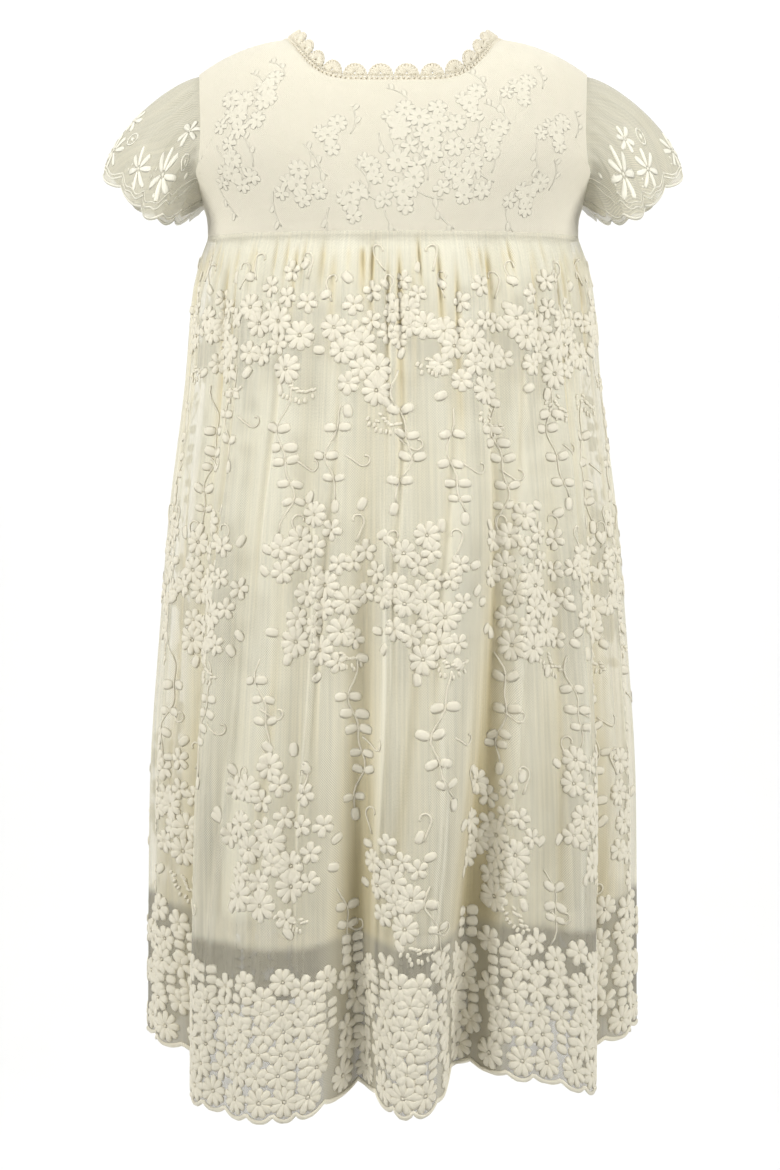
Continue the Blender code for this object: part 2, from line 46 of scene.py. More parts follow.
WAIST_DROP = 0.110
WAIST_HALF_WIDTH = 0.102
CHEST_HALF_WIDTH = 0.120
YOKE_FRONT_DEPTH = 0.080
YOKE_BACK_DEPTH = 0.076
SHOULDER_START = 0.048
SHOULDER_WIDTH = 0.059
SHOULDER_FALL = 0.0195
FRONT_NECK_DROP = 0.0272
BACK_NECK_DROP = 0.0245
NECK_HALF_WIDTH = 0.061
NECK_SQUARENESS = 5.0
FRONT_NECK_CLIMB = math.degrees(math.asin((WAIST_DROP - FRONT_NECK_DROP) / WAIST_DROP))
BACK_NECK_CLIMB = 180.0 - math.degrees(math.asin((WAIST_DROP - BACK_NECK_DROP) / WAIST_DROP))
NECK_POINT_SIDE = math.degrees(math.asin(NECK_HALF_WIDTH / CHEST_HALF_WIDTH))
FRONT_SEAM_CLIMB = 90.0
BACK_SEAM_CLIMB = 90.2
SIDE_SEAM = 89.9
SEAM_GAP = 0.0003
YOKE_WALL = 0.0020
LAP = 0.006
LAP_THICKNESS = 0.0022
LAP_GAP = 0.00045
LAP_LIFT = LAP_THICKNESS + LAP_GAP
LAP_RISE_START = 0.0125
LAP_RISE_WIDTH = 0.008
PUCKER_DROP = 0.1055
NECK_POINTS = 40
ARM_POINTS = 34
ARMHOLE = (
    # climb, side_angle
    (0.0, 90.0),
    (6.0, 90.0),
    (10.0, 81.5),
    (16.0, 71.0),
    (23.0, 64.0),
    (32.0, 60.5),
    (60.0, 61.5),
    (90.0, 63.1),
)


def ease(share):
    """0 up to 1, with no corner at either end."""
    share = np.clip(share, 0.0, 1.0)
    return share * share * (3.0 - 2.0 * share)


def curve_through(rows, keys):
    """The other columns of a table at each key, along a smooth curve through its rows."""
    rows = np.array(rows, dtype=float)
    keys = np.clip(np.asarray(keys, dtype=float), rows[0, 0], rows[-1, 0])
    last = len(rows) - 1
    i = np.clip(np.searchsorted(rows[:, 0], keys, side="right") - 1, 0, last - 1)
    before, low, high, after = rows[np.maximum(i - 1, 0)], rows[i], rows[i + 1], rows[np.minimum(i + 2, last)]
    span = (high[..., 0] - low[..., 0])[..., None]
    t = (keys - low[..., 0])[..., None] / span
    rise_low = (high - before)[..., 1:] / (high - before)[..., :1] * span
    rise_high = (after - low)[..., 1:] / (after - low)[..., :1] * span
    return (
        (2 * t**3 - 3 * t**2 + 1) * low[..., 1:]
        + (t**3 - 2 * t**2 + t) * rise_low
        + (3 * t**2 - 2 * t**3) * high[..., 1:]
        + (t**3 - t**2) * rise_high
    )


def unit(vectors):
    return vectors / np.maximum(np.linalg.norm(vectors, axis=-1, keepdims=True), 1e-12)


def on_yoke(side, climb):
    """Points of the yoke. Side is 90 at the side seam; climb is 0 at the front waist and 180 at the back."""
    side, climb = np.broadcast_arrays(np.asarray(side, dtype=float), np.asarray(climb, dtype=float))
    level = np.minimum(climb, 180.0 - climb)
    half_width = WAIST_HALF_WIDTH + (CHEST_HALF_WIDTH - WAIST_HALF_WIDTH) * ease((level - 5.0) / 25.0)
    depth = np.where(climb < 90.0, YOKE_FRONT_DEPTH, YOKE_BACK_DEPTH)
    turn, rise = np.radians(side), np.radians(climb)
    across = half_width * np.sin(turn)
    shoulder = -SHOULDER_FALL * np.maximum((np.abs(across) - SHOULDER_START) / SHOULDER_WIDTH, 0.0) ** 2.2
    height = (shoulder + WAIST_DROP) * np.sin(rise) - WAIST_DROP
    return np.stack([across, -depth * np.cos(rise) * np.cos(turn), height], -1)


def out_of_yoke(side, climb):
    across = on_yoke(side + 0.01, climb) - on_yoke(side - 0.01, climb)
    upward = on_yoke(side, climb + 0.01) - on_yoke(side, climb - 0.01)
    return unit(np.cross(across, upward))


def neck_side(climb):
    """How far round the side the neckline is at this climb."""
    front = (climb - FRONT_NECK_CLIMB) / (90.0 - FRONT_NECK_CLIMB)
    back = (BACK_NECK_CLIMB - climb) / (BACK_NECK_CLIMB - 90.0)
    shape = np.clip(np.where(climb < 90.0, front, back), 0.0, 1.0)
    return NECK_POINT_SIDE * shape ** (1.0 / NECK_SQUARENESS)


def armhole_side(climb):
    return curve_through(ARMHOLE, np.minimum(climb, 180.0 - climb))[..., 0]


def evenly(places, count):
    """count places spread evenly along a path over the yoke."""
    steps = np.linalg.norm(np.diff(on_yoke(places[:, 0], places[:, 1]), axis=0), axis=1)
    run = np.concatenate([[0.0], np.cumsum(steps)])
    targets = np.linspace(0.0, run[-1], count)
    return np.stack([np.interp(targets, run, places[:, k]) for k in range(2)], -1)


def neckline(start, end, sign):
    """The places along one side of the neckline between two climbs."""
    climb = start + (end - start) * (0.5 - 0.5 * np.cos(np.linspace(0.0, math.pi, 400)))
    return np.stack([sign * neck_side(climb), climb], -1)


def put_in_scene(name, data):
    """A new object for a mesh, a light or a camera."""
    made = bpy.data.objects.new(name, data)
    bpy.context.scene.collection.objects.link(made)
    return made


def lay_cloth(name, points, flat, material, **marks):
    """One sheet of cloth from its rows of points, with its flat sizes as its UV map and any marks on it."""
    rows, columns = points.shape[:2]
    index = np.arange(rows * columns).reshape(rows, columns)
    corners = (index[:-1, :-1], index[1:, :-1], index[1:, 1:], index[:-1, 1:])
    faces = np.stack(corners, -1).reshape(-1, 4)
    mesh = bpy.data.meshes.new(name)
    mesh.from_pydata(points.reshape(-1, 3).tolist(), [], faces.tolist())
    mesh.uv_layers.new(name="flat").data.foreach_set("uv", flat.reshape(-1, 2)[faces.ravel()].ravel())
    for mark, values in marks.items():
        values = values.ravel().astype(np.float32)
        mesh.attributes.new(mark, "FLOAT", "POINT").data.foreach_set("value", values)
    mesh.materials.append(material)
    mesh.shade_smooth()
    return put_in_scene(name, mesh)


def flat_sizes(points):
    """How far each point lies along its row and down its column, in metres of cloth."""
    across = np.linalg.norm(np.diff(points, axis=1), axis=2)
    down = np.linalg.norm(np.diff(points, axis=0), axis=2)
    along = np.concatenate([np.zeros((len(points), 1)), np.cumsum(across, axis=1)], 1)
    fall = np.concatenate([np.zeros((1, points.shape[1])), np.cumsum(down, axis=0)], 0)
    return np.stack([along, -fall], -1)


def alone(piece):
    """Selects one piece and nothing else."""
    bpy.ops.object.select_all(action="DESELECT")
    piece.select_set(True)
    bpy.context.view_layer.objects.active = piece


def give_wall(piece, thickness):
    """Turns a sheet into a wall with a rounded edge."""
    alone(piece)
    wall = piece.modifiers.new("wall", "SOLIDIFY")
    wall.thickness, wall.offset = thickness, 0.0
    bpy.ops.object.modifier_apply(modifier="wall")
    edge = piece.modifiers.new("edge", "BEVEL")
    edge.width, edge.segments = thickness * 0.4, 2
    edge.limit_method, edge.angle_limit = "ANGLE", math.radians(60)
    bpy.ops.object.modifier_apply(modifier="edge")
    bpy.ops.object.shade_smooth()


class Stitch:
    """A value in a finish's node tree. Sums on it add Math nodes, so a pattern is written as arithmetic."""

    def __init__(self, tree, node=None, output=0):
        self.tree, self.source, self.output = tree, node, output

    def connect(self, to, inputs):
        """Gives the sockets of a node their values or links."""
        for key, value in inputs.items():
            if isinstance(value, Stitch):
                self.tree.links.new(value.source.outputs[value.output], to.inputs[key])
            else:
                to.inputs[key].default_value = value

    def node(self, kind, settings, inputs, output=0):
        made = self.tree.nodes.new(kind)
        for name, value in settings.items():
            setattr(made, name, value)
        self.connect(made, inputs)
        return Stitch(self.tree, made, output)

    def maths(self, operation, *values):
        return self.node("ShaderNodeMath", {"operation": operation}, dict(enumerate(values)))

    def __add__(self, other):
        return self.maths("ADD", self, other)

    def __sub__(self, other):
        return self.maths("SUBTRACT", self, other)

    def __rsub__(self, other):
        return self.maths("SUBTRACT", other, self)

    def __mul__(self, other):
        return self.maths("MULTIPLY", self, other)

    __radd__, __rmul__ = __add__, __mul__

    def wave(self, period):
        """A smooth ridge from 0 to 1 that repeats every period."""
        return self.maths("SINE", self * (2 * math.pi / period)) * 0.5 + 0.5

    def above(self, level, softness):
        """0 below level and 1 above it, over a short slope."""
        edges = {"interpolation_type": "SMOOTHSTEP"}
        values = {"Value": self, "From Min": level - softness, "From Max": level + softness}
        return self.node("ShaderNodeMapRange", edges, values)

    def larger(self, other):
        return self.maths("MAXIMUM", self, other)


def finish(name):
    """A new cloth finish: its material, its shader and a start for its patterns."""
    made = bpy.data.materials.new(name)
    made.use_nodes = True
    return made, made.node_tree.nodes["Principled BSDF"], Stitch(made.node_tree)


def flat_place(start):
    """The two directions of the cloth, in metres, from the piece's own UV map."""
    place = start.node("ShaderNodeUVMap", {"uv_map": "flat"}, {})
    parts = start.node("ShaderNodeSeparateXYZ", {}, {0: place})
    return place, parts, Stitch(parts.tree, parts.source, 1)


def blend(start, share, low, high):
    """A colour between two, by a share that varies over the cloth."""
    return start.node("ShaderNodeMix", {"data_type": "RGBA"}, {0: share, 6: low, 7: high}, 2)


def cloudy(start, place, scale, detail=2.0):
    """Soft uneven patches over the cloth."""
    return start.node("ShaderNodeTexNoise", {}, {"Vector": place, "Scale": scale, "Detail": detail})


def feed(start, shader, inputs, height=None, relief=0.0):
    """Connects what varies to the shader, with a pattern of heights that is relief metres deep."""
    start.connect(shader, inputs)
    if height is not None:
        bump = start.node("ShaderNodeBump", {}, {"Strength": 1.0, "Distance": relief, "Height": height})
        start.connect(shader, {"Normal": bump})


def lace_over_lining(name, light, deep):
    """Opaque cotton with a layer of fine net drawn tight over it, puckered just above the waist seam."""
    material, shader, start = finish(name)
    place, along, down = flat_place(start)
    threads = (along + down).wave(0.0011).larger((along - down).wave(0.0011))
    patches = cloudy(start, place, 38.0)
    drawn_up = start.node("ShaderNodeMapping", {}, {"Vector": place, "Scale": (300.0, 30.0, 1.0)})
    puckers = cloudy(start, drawn_up, 1.0, 1.0) * (1.0 - down.above(-PUCKER_DROP, 0.0035))
    tone = threads.above(0.80, 0.18) * 0.45 + patches * 0.55
    feed(
        start,
        shader,
        {"Base Color": blend(start, tone, deep, light), "Roughness": 0.86, "Sheen Weight": 0.25,
         "Sheen Roughness": 0.45, "Specular IOR Level": 0.25},
        threads.above(0.75, 0.25) + patches * 0.8 + puckers * 7.0,
        relief=0.00016,
    )
    return material


yoke_finish = lace_over_lining("yoke_lace_cloth", (0.73, 0.695, 0.575, 1.0), (0.685, 0.64, 0.51, 1.0))


def sew_yoke(name, node, inner, outer, lift=None):
    """A panel of the yoke, laid from its neckline out to its waist, side, armhole and shoulder."""
    away = np.linspace(0.0, 1.0, 45)[:, None, None]
    places = inner[None] + (outer - inner)[None] * away
    side, climb = places[..., 0], places[..., 1]
    points = on_yoke(side, climb)
    if lift is not None:
        points = points + out_of_yoke(side, climb) * lift(points[..., 0])[..., None]
    piece = lay_cloth(name, points, points[..., ::2], yoke_finish)
    give_wall(piece, YOKE_WALL)
    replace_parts(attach(piece, "root"), node)


def half_panel(waist, middle, seam, past):
    """The inner and outer edges of half a panel, from the middle out to the shoulder seam."""
    corner = middle + (seam - middle) * 0.12
    climb = np.linspace(middle, corner, 200)
    across = np.stack([neck_side(climb), climb], -1)
    climb = np.linspace(corner, seam, 200)
    upright = np.stack([neck_side(climb), climb], -1)
    start = np.array([[-past, middle]]) if past else across[:1]
    across = np.concatenate([start, across])
    inner = np.concatenate([evenly(across, NECK_POINTS), evenly(upright, ARM_POINTS)[1:]])
    limit = float(armhole_side(np.array(middle)))
    hem = np.stack([np.linspace(-past / limit * SIDE_SEAM, SIDE_SEAM, 200), np.full(200, waist)], -1)
    climb = np.linspace(waist, seam, 300)
    arm = np.stack([np.minimum(armhole_side(climb), SIDE_SEAM), climb], -1)
    outer = np.concatenate([evenly(hem, NECK_POINTS), evenly(arm, ARM_POINTS)[1:]])
    return inner, outer


left_inner, left_outer = half_panel(0.0, FRONT_NECK_CLIMB, FRONT_SEAM_CLIMB, 0.0)
front_inner, front_outer = (
    np.concatenate([edge[::-1] * (-1, 1), edge[1:]]) for edge in (left_inner, left_outer)
)
sew_yoke("yoke_front_lace", "yoke_front", front_inner, front_outer)


def lap_lift(across):
    """How far the lapping half stands off the other one at this distance from the middle."""
    return LAP_LIFT * ease((LAP_RISE_START + LAP_RISE_WIDTH - across) / LAP_RISE_WIDTH)


past_middle = math.degrees(math.asin(LAP / CHEST_HALF_WIDTH))
for side_name, sign, raised in (("left", 1, lap_lift), ("right", -1, None)):
    edges = [edge * (sign, 1) for edge in half_panel(180.0, BACK_NECK_CLIMB, BACK_SEAM_CLIMB, past_middle)]
    if sign > 0:
        edges = [edge[::-1] for edge in edges]
    sew_yoke(f"yoke_back_{side_name}_lace", f"yoke_back_{side_name}", *edges, raised)


# Embroidery on the yoke
# Small flowers in ivory thread, close in tone to the lace and faint on it, thickest in the middle of the
# front and at one side. Each petal is satin stitch: thread laid side by side until it stands up.


class LaidCloth:
    """Cloth where it lies on the dress, so that what is drawn flat can be sewn on it."""

    def __init__(self, points):
        self.points = points
        across, down = np.gradient(points, axis=1), np.gradient(points, axis=0)
        self.out = unit(np.cross(down, across))
        steps = np.linalg.norm(np.diff(points, axis=1), axis=2)
        self.run = np.concatenate([np.zeros((len(points), 1)), np.cumsum(steps, axis=1)], 1)
        self.pace = np.gradient(self.run, axis=1) * (points.shape[1] - 1)
        self.fall = np.linalg.norm(down, axis=2) * (len(points) - 1)

    def look(self, table, share, down):
        """A table's value at a share of the way across and down."""
        rows, columns = table.shape[:2]
        r, c = np.clip(down, 0, 1) * (rows - 1), np.clip(share, 0, 1) * (columns - 1)
        i, j = np.minimum(r.astype(int), rows - 2), np.minimum(c.astype(int), columns - 2)
        r, c = r - i, c - j
        if table.ndim == 3:
            r, c = r[..., None], c[..., None]
        upper = table[i, j] * (1 - c) + table[i, j + 1] * c
        return upper * (1 - r) + (table[i + 1, j] * (1 - c) + table[i + 1, j + 1] * c) * r

    def sew(self, share, down, x, y, height):
        """Places x across and y up from an anchor, in metres of cloth, standing off it by height."""
        row = down - y / self.look(self.fall, share, down)
        target = self.look(self.run, share, row) + x
        found = share + x / self.look(self.pace, share, row)
        for _ in range(4):
            found += (target - self.look(self.run, found, row)) / self.look(self.pace, found, row)
            found = np.clip(found, 0.001, 0.999)
        return self.look(self.points, found, row) + unit(self.look(self.out, found, row)) * height[..., None]


def as_pattern(piece):
    """The points and faces of a piece that is only a pattern for others, and is then taken away."""
    shape = np.array([vertex.co for vertex in piece.data.vertices])
    faces = [tuple(polygon.vertices) for polygon in piece.data.polygons]
    bpy.data.objects.remove(piece, do_unlink=True)
    return shape, faces


def stitched_petal():
    """One leaf of satin stitch, a unit long from its root: a low lens with full round ends."""
    bpy.ops.object.select_all(action="DESELECT")
    bpy.ops.mesh.primitive_uv_sphere_add(
        segments=6, ring_count=5, radius=0.5, location=(0.5, 0.0, 0.0), rotation=(0.0, math.pi / 2, 0.0)
    )
    petal = bpy.context.object
    bpy.ops.object.transform_apply(location=True, rotation=True, scale=True)
    for vertex in petal.data.vertices:
        vertex.select = 0.02 < vertex.co.x < 0.2 or 0.8 < vertex.co.x < 0.98
    for group in (petal.data.edges, petal.data.polygons):
        for element in group:
            element.select = False
    bpy.ops.object.mode_set(mode="EDIT")
    bpy.ops.mesh.select_mode(type="VERT")
    bpy.ops.transform.resize(value=(1.0, 1.22, 1.22), center_override=(0.5, 0.0, 0.0))
    bpy.ops.object.mode_set(mode="OBJECT")
    return as_pattern(petal)


PETAL_SHAPE, PETAL_FACES = stitched_petal()
THREAD_GAP = 0.00005


def cord_faces(count, around):
    """The faces along a cord that is given as count rings of points."""
    faces = []
    for ring in range(0, (count - 1) * around, around):
        for k in range(around):
            beside = (k + 1) % around
            faces.append((ring + k, ring + beside, ring + around + beside, ring + around + k))
    return faces


class Embroidery:
    """Petals, leaves, knots and stems drawn flat, each from an anchor on the cloth, and sewn on together."""

    def __init__(self, cloth, seed, relief):
        self.cloth, self.chance, self.relief = cloth, np.random.default_rng(seed), relief
        self.places, self.faces, self.flat = [], [], []
        self.count = 0

    def add(self, anchor, x, y, height, flat, faces):
        share, down = np.broadcast_to(anchor[0], x.shape), np.broadcast_to(anchor[1], x.shape)
        self.places.append(np.stack([share, down, x, y, height], -1))
        self.flat.append(flat)
        self.faces.extend(tuple(self.count + k for k in face) for face in faces)
        self.count += len(x)

    def petal(self, anchor, x, y, turn, length, width, pinch=0.0):
        """A petal or leaf with its root at x, y, pointing along turn, and pinched in at its root."""
        along, up = PETAL_SHAPE[:, 0] * length, PETAL_SHAPE[:, 2]
        across = PETAL_SHAPE[:, 1] * width * 1.12 * (1.0 - pinch * (1.0 - PETAL_SHAPE[:, 0]) ** 1.5)
        lift = self.relief * (0.9 + 0.2 * self.chance.random())
        height = np.where(up > 0, up * 2 * lift, up * 0.5 * lift) + THREAD_GAP
        cos, sin = math.cos(turn), math.sin(turn)
        flat = np.stack([along + self.chance.random() * 0.01, across], -1)
        turned_x, turned_y = x + along * cos - across * sin, y + along * sin + across * cos
        self.add(anchor, turned_x, turned_y, height, flat, PETAL_FACES)

    def flower(self, anchor, x, y, petals, radius, turn=None):
        """Petals round a small bare middle."""
        turn = self.chance.random() * 6.28 if turn is None else turn
        middle = radius * (0.05 if petals < 7 else 0.10)
        width = min(5.2 * radius / petals, 0.76 * radius)
        for k in range(petals):
            angle = turn + 2 * math.pi * k / petals + self.chance.normal() * 0.04
            length = (radius - middle) * (0.95 + 0.1 * self.chance.random())
            root = (x + middle * math.cos(angle), y + middle * math.sin(angle))
            self.petal(anchor, *root, angle, length, width, 0.42)

    def knot(self, anchor, x, y, size):
        self.petal(anchor, x - size / 2, y, 0.0, size, size * 0.9)

    def stem(self, anchor, x, y, width=0.0008):
        """A thin cord along the points x, y."""
        x, y = np.asarray(x, dtype=float), np.asarray(y, dtype=float)
        ahead = unit(np.stack([np.gradient(x), np.gradient(y)], -1))
        side = np.stack([-ahead[:, 1], ahead[:, 0]], -1) * width / 2
        run = np.concatenate([[0.0], np.cumsum(np.hypot(np.diff(x), np.diff(y)))])
        ring_x = np.stack([x + side[:, 0], x, x - side[:, 0], x], -1)
        ring_y = np.stack([y + side[:, 1], y, y - side[:, 1], y], -1)
        height = np.broadcast_to(np.array([0.0, -0.2, 0.0, 0.8]) * self.relief + THREAD_GAP, ring_x.shape)
        flat = np.stack([np.broadcast_to(run[:, None], ring_x.shape), ring_x * 0], -1)
        count = len(x)
        faces = cord_faces(count, 4)
        faces += [(3, 2, 1, 0), tuple(4 * count - 4 + k for k in range(4))]
        self.add(anchor, ring_x.ravel(), ring_y.ravel(), height.ravel(), flat.reshape(-1, 2), faces)

    def finish_as(self, name, thread):
        """Sews all that was drawn onto the cloth, as one mesh."""
        places = np.concatenate(self.places)
        points = self.cloth.sew(*places.T)
        mesh = bpy.data.meshes.new(name)
        mesh.from_pydata(points.tolist(), [], self.faces)
        order = np.concatenate([np.array(face) for face in self.faces])
        mesh.uv_layers.new(name="flat").data.foreach_set("uv", np.concatenate(self.flat)[order].ravel())
        mesh.materials.append(thread)
        mesh.shade_smooth()
        piece = put_in_scene(name, mesh)
        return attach(piece, "root")


def satin_thread(name, light, deep, roughness):
    """Loosely twisted cotton laid side by side, with a soft shine and a fine line between threads."""
    material, shader, start = finish(name)
    place, along = flat_place(start)[:2]
    lay = cloudy(start, place, 900.0, 1.0)
    threads = (along + lay * 0.00015).wave(0.00060)
    patches = cloudy(start, place, 120.0)
    tone = threads * 0.45 + patches * 0.55
    feed(
        start,
        shader,
        {"Base Color": blend(start, tone, deep, light), "Roughness": roughness, "Sheen Weight": 0.15,
         "Specular IOR Level": 0.35},
        threads + lay * 0.4,
        relief=0.00014,
    )
    return material


tone_thread = satin_thread("tone_on_tone_thread", (0.745, 0.71, 0.59, 1.0), (0.70, 0.66, 0.53, 1.0), 0.80)

YOKE_SPRAYS = (
    # across, height, flowers, size
    (0.020, -0.060, 13, 1.0),
    (0.040, -0.082, 6, 0.95),
    (0.006, -0.088, 5, 0.9),
    (0.052, -0.060, 5, 0.85),
    (-0.082, -0.042, 9, 0.95),
    (-0.090, -0.074, 6, 0.9),
    (-0.056, -0.084, 6, 0.9),
    (0.080, -0.088, 5, 0.9),
    (0.086, -0.050, 5, 0.85),
    (-0.034, -0.058, 4, 0.85),
    (-0.026, -0.094, 4, 0.8),
    (0.002, -0.050, 4, 0.85),
    (-0.066, -0.030, 4, 0.8),
    (0.068, -0.030, 5, 0.8),
    (0.040, -0.040, 4, 0.85),
    (-0.012, -0.074, 3, 0.8),
)

WORKED_SIDE = 62.0
WORKED_CLIMB = 84.0
WORKED_HALF_WIDTH = 0.118
FLOWER_PITCH = 0.0060

worked_sides = np.linspace(-WORKED_SIDE, WORKED_SIDE, 241)
yoke_side, yoke_climb = np.meshgrid(worked_sides, np.linspace(WORKED_CLIMB, 0.0, 121))
yoke_cloth = LaidCloth(on_yoke(yoke_side, yoke_climb) + out_of_yoke(yoke_side, yoke_climb) * YOKE_WALL / 2)
yoke_flowers = Embroidery(yoke_cloth, 11, relief=0.00005)
for across, height, flowers, size in YOKE_SPRAYS:
    climb = math.degrees(math.asin((height + WAIST_DROP) / WAIST_DROP))
    side = math.degrees(math.asin(across / WORKED_HALF_WIDTH))
    anchor = ((side + WORKED_SIDE) / (2 * WORKED_SIDE), (WORKED_CLIMB - climb) / WORKED_CLIMB)
    for k in range(flowers):
        turn = 2.4 * k + yoke_flowers.chance.random() * 0.3
        away = FLOWER_PITCH * size * math.sqrt(k)
        petals, radius = ((8, 0.0066), (5, 0.0052), (6, 0.0056))[k % 3]
        yoke_flowers.flower(anchor, away * math.cos(turn), away * math.sin(turn), petals, radius * size)
    edge = FLOWER_PITCH * size * math.sqrt(flowers) + 0.002
    for k in range(2):
        turn = 3.1 * k + yoke_flowers.chance.random()
        reach, bend = edge + np.linspace(0.0, 0.010, 8), turn + np.linspace(0.0, 0.9, 8)
        yoke_flowers.stem(anchor, reach * np.cos(bend), reach * np.sin(bend))
        for step in (3, 6):
            root = (float(reach[step] * math.cos(bend[step])), float(reach[step] * math.sin(bend[step])))
            yoke_flowers.petal(anchor, *root, turn + 0.9, 0.0046, 0.0028)
yoke_embroidery = yoke_flowers.finish_as("yoke_embroidery", tone_thread)


# The neck edging
# A crochet edging of 26 shells round the neck, in thick matt cotton: each is a fan of posts with rounded
# tops, worked into a corded heading with a row of small holes, and whipped to the neckline.

SHELLS = 26
SHELL_HEIGHT = 0.0106
HEADING_HEIGHT = 0.0030
DRAWN_SHELL_HEIGHT = 0.66
EDGING_UPRIGHT = 0.6
POINTS_A_SHELL = 40
POSTS = 9
FAN_LEAN = 82.0
HOLES_A_SHELL = 6
LOOPS_A_SHELL = 5


def crochet_finish():
    material, shader, start = finish("crochet_cotton_thread")
    place = start.node("ShaderNodeTexCoord", {}, {}, 3)
    strands = start.node("ShaderNodeTexWave", {"bands_direction": "DIAGONAL"},
                         {"Vector": place, "Scale": 520.0, "Distortion": 1.5, "Detail": 1.0})
    patches = cloudy(start, place, 260.0)
    strand = Stitch(strands.tree, strands.source, 1)
    tone = strand * 0.5 + patches * 0.5
    feed(
        start,
        shader,
        {"Base Color": blend(start, tone, (0.63, 0.56, 0.41, 1.0), (0.87, 0.83, 0.70, 1.0)),
         "Roughness": 0.9, "Sheen Weight": 0.3, "Specular IOR Level": 0.2},
        strand + patches * 0.5,
        relief=0.00018,
    )
    return material


crochet = crochet_finish()


def crochet_shell():
    """One shell drawn flat, a unit wide: a fan of posts with a rounded stitch on each, and its heading."""
    bpy.ops.object.select_all(action="DESELECT")
    made = []

    def stitch_loop(x, y, turn, length, width, depth):
        """One drawn loop of thread: a plump lump, long along turn."""
        bpy.ops.mesh.primitive_uv_sphere_add(
            segments=7, ring_count=5, radius=0.5, rotation=(0.0, math.pi / 2, 0.0)
        )
        lump = bpy.context.object
        bpy.ops.object.transform_apply(location=False, rotation=True, scale=False)
        lump.scale = (length, width, depth)
        bpy.ops.object.transform_apply(location=False, rotation=False, scale=True)
        lump.location, lump.rotation_euler = (x, y, 0.0), (0.0, 0.0, turn)
        bpy.ops.object.transform_apply(location=True, rotation=True, scale=True)
        made.append(lump)

    for k in range(POSTS):
        lean = math.radians(-FAN_LEAN + 2 * FAN_LEAN * k / (POSTS - 1))
        x, y = 0.27 * math.sin(lean), 0.07 + 0.33 * math.cos(lean)
        stitch_loop(x, y, math.pi / 2 - lean, 0.46, 0.19, 0.20)
        stitch_loop(x * 1.58, 0.05 + (y - 0.05) * 1.55, -lean, 0.20, 0.12, 0.19)
    for k in range(HOLES_A_SHELL):
        bpy.ops.mesh.primitive_torus_add(
            major_segments=10, minor_segments=5, major_radius=0.060, minor_radius=0.034,
            location=(-0.5 + (k + 0.5) / HOLES_A_SHELL, -0.04, 0.0),
        )
        made.append(bpy.context.object)
        bpy.ops.object.transform_apply(location=True, rotation=True, scale=True)
    for k in range(LOOPS_A_SHELL):
        x = -0.5 + (k + 0.5) / LOOPS_A_SHELL
        stitch_loop(x, 0.055, 0.0, 0.23, 0.075, 0.13)
        stitch_loop(x, -0.15, 0.35, 0.24, 0.12, 0.20)
        stitch_loop(x, -0.24, -0.35, 0.24, 0.11, 0.22)
    bpy.ops.object.select_all(action="DESELECT")
    for part in made:
        part.select_set(True)
    bpy.context.view_layer.objects.active = made[0]
    bpy.ops.object.join()
    return as_pattern(bpy.context.object)


def neck_ring():
    """Points round the neck's edge and the way out of the cloth, from the middle back by the right."""
    right = neckline(BACK_NECK_CLIMB, BACK_SEAM_CLIMB, -1)
    front = neckline(FRONT_NECK_CLIMB, FRONT_SEAM_CLIMB, 1)
    left = neckline(BACK_NECK_CLIMB, BACK_SEAM_CLIMB, 1)
    ring = np.concatenate([right[1:], front[::-1] * (-1, 1), front[1:], left[::-1][:-1]])
    ring = evenly(ring, SHELLS * POINTS_A_SHELL + 1)
    points, out = on_yoke(ring[:, 0], ring[:, 1]), out_of_yoke(ring[:, 0], ring[:, 1])
    raised = (ring[:, 1] > 90.0) & (ring[:, 0] > 0.0)
    return points + out * (lap_lift(points[:, 0]) * raised)[:, None], out


shell_shape, shell_faces = crochet_shell()
ring_points, ring_out = neck_ring()
ring_along = unit(np.gradient(ring_points, axis=0))
ring_inward = unit(np.cross(ring_out, ring_along))
ring_stand = unit(ring_inward + np.array([0.0, 0.0, EDGING_UPRIGHT]))
ring_facing = unit(ring_out - ring_stand * np.sum(ring_out * ring_stand, axis=1, keepdims=True))
ring_steps = np.linalg.norm(np.diff(ring_points, axis=0), axis=1)
ring_run = np.concatenate([[0.0], np.cumsum(ring_steps)])
shell_pitch = ring_run[-1] / SHELLS


def round_the_neck(run, up, off):
    """Places run metres round the neck, up the edging's height, and off its face."""
    spread = [np.stack([np.interp(run, ring_run, table[:, k]) for k in range(3)], -1)
              for table in (ring_points, ring_stand, ring_facing, ring_inward)]
    root, stand, facing, inward = spread[0], unit(spread[1]), unit(spread[2]), unit(spread[3])
    return root + inward * SEAM_GAP + stand * up[:, None] + facing * off[:, None]


edging_points, edging_faces = [], []
for number in range(SHELLS):
    run = (number + 0.5 + shell_shape[:, 0] * 0.99) * shell_pitch
    up = HEADING_HEIGHT + shell_shape[:, 1] * (SHELL_HEIGHT - HEADING_HEIGHT) / DRAWN_SHELL_HEIGHT
    edging_points.append(round_the_neck(run, up, shell_shape[:, 2] * shell_pitch))
    edging_faces += [tuple(number * len(shell_shape) + k for k in face) for face in shell_faces]
edging_mesh = bpy.data.meshes.new("neck_edging_crochet")
edging_mesh.from_pydata(np.concatenate(edging_points).tolist(), [], edging_faces)
edging_mesh.materials.append(crochet)
edging_mesh.shade_smooth()
neck_edging = put_in_scene("neck_edging_crochet", edging_mesh)
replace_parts(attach(neck_edging, "root"), "neck_edging")


# The buttons
# Three small round pearl buttons close the back. Each has a rolled rim, a dished face and two holes, and is
# sewn through with a few turns of cotton.

BUTTON_DROPS = (0.037, 0.066, 0.095)
BUTTON_RADIUS = 0.0047
BUTTON_THICKNESS = 0.0026
BUTTON_DISH = 0.0007
BUTTON_HOLE_OFFSET = 0.0011


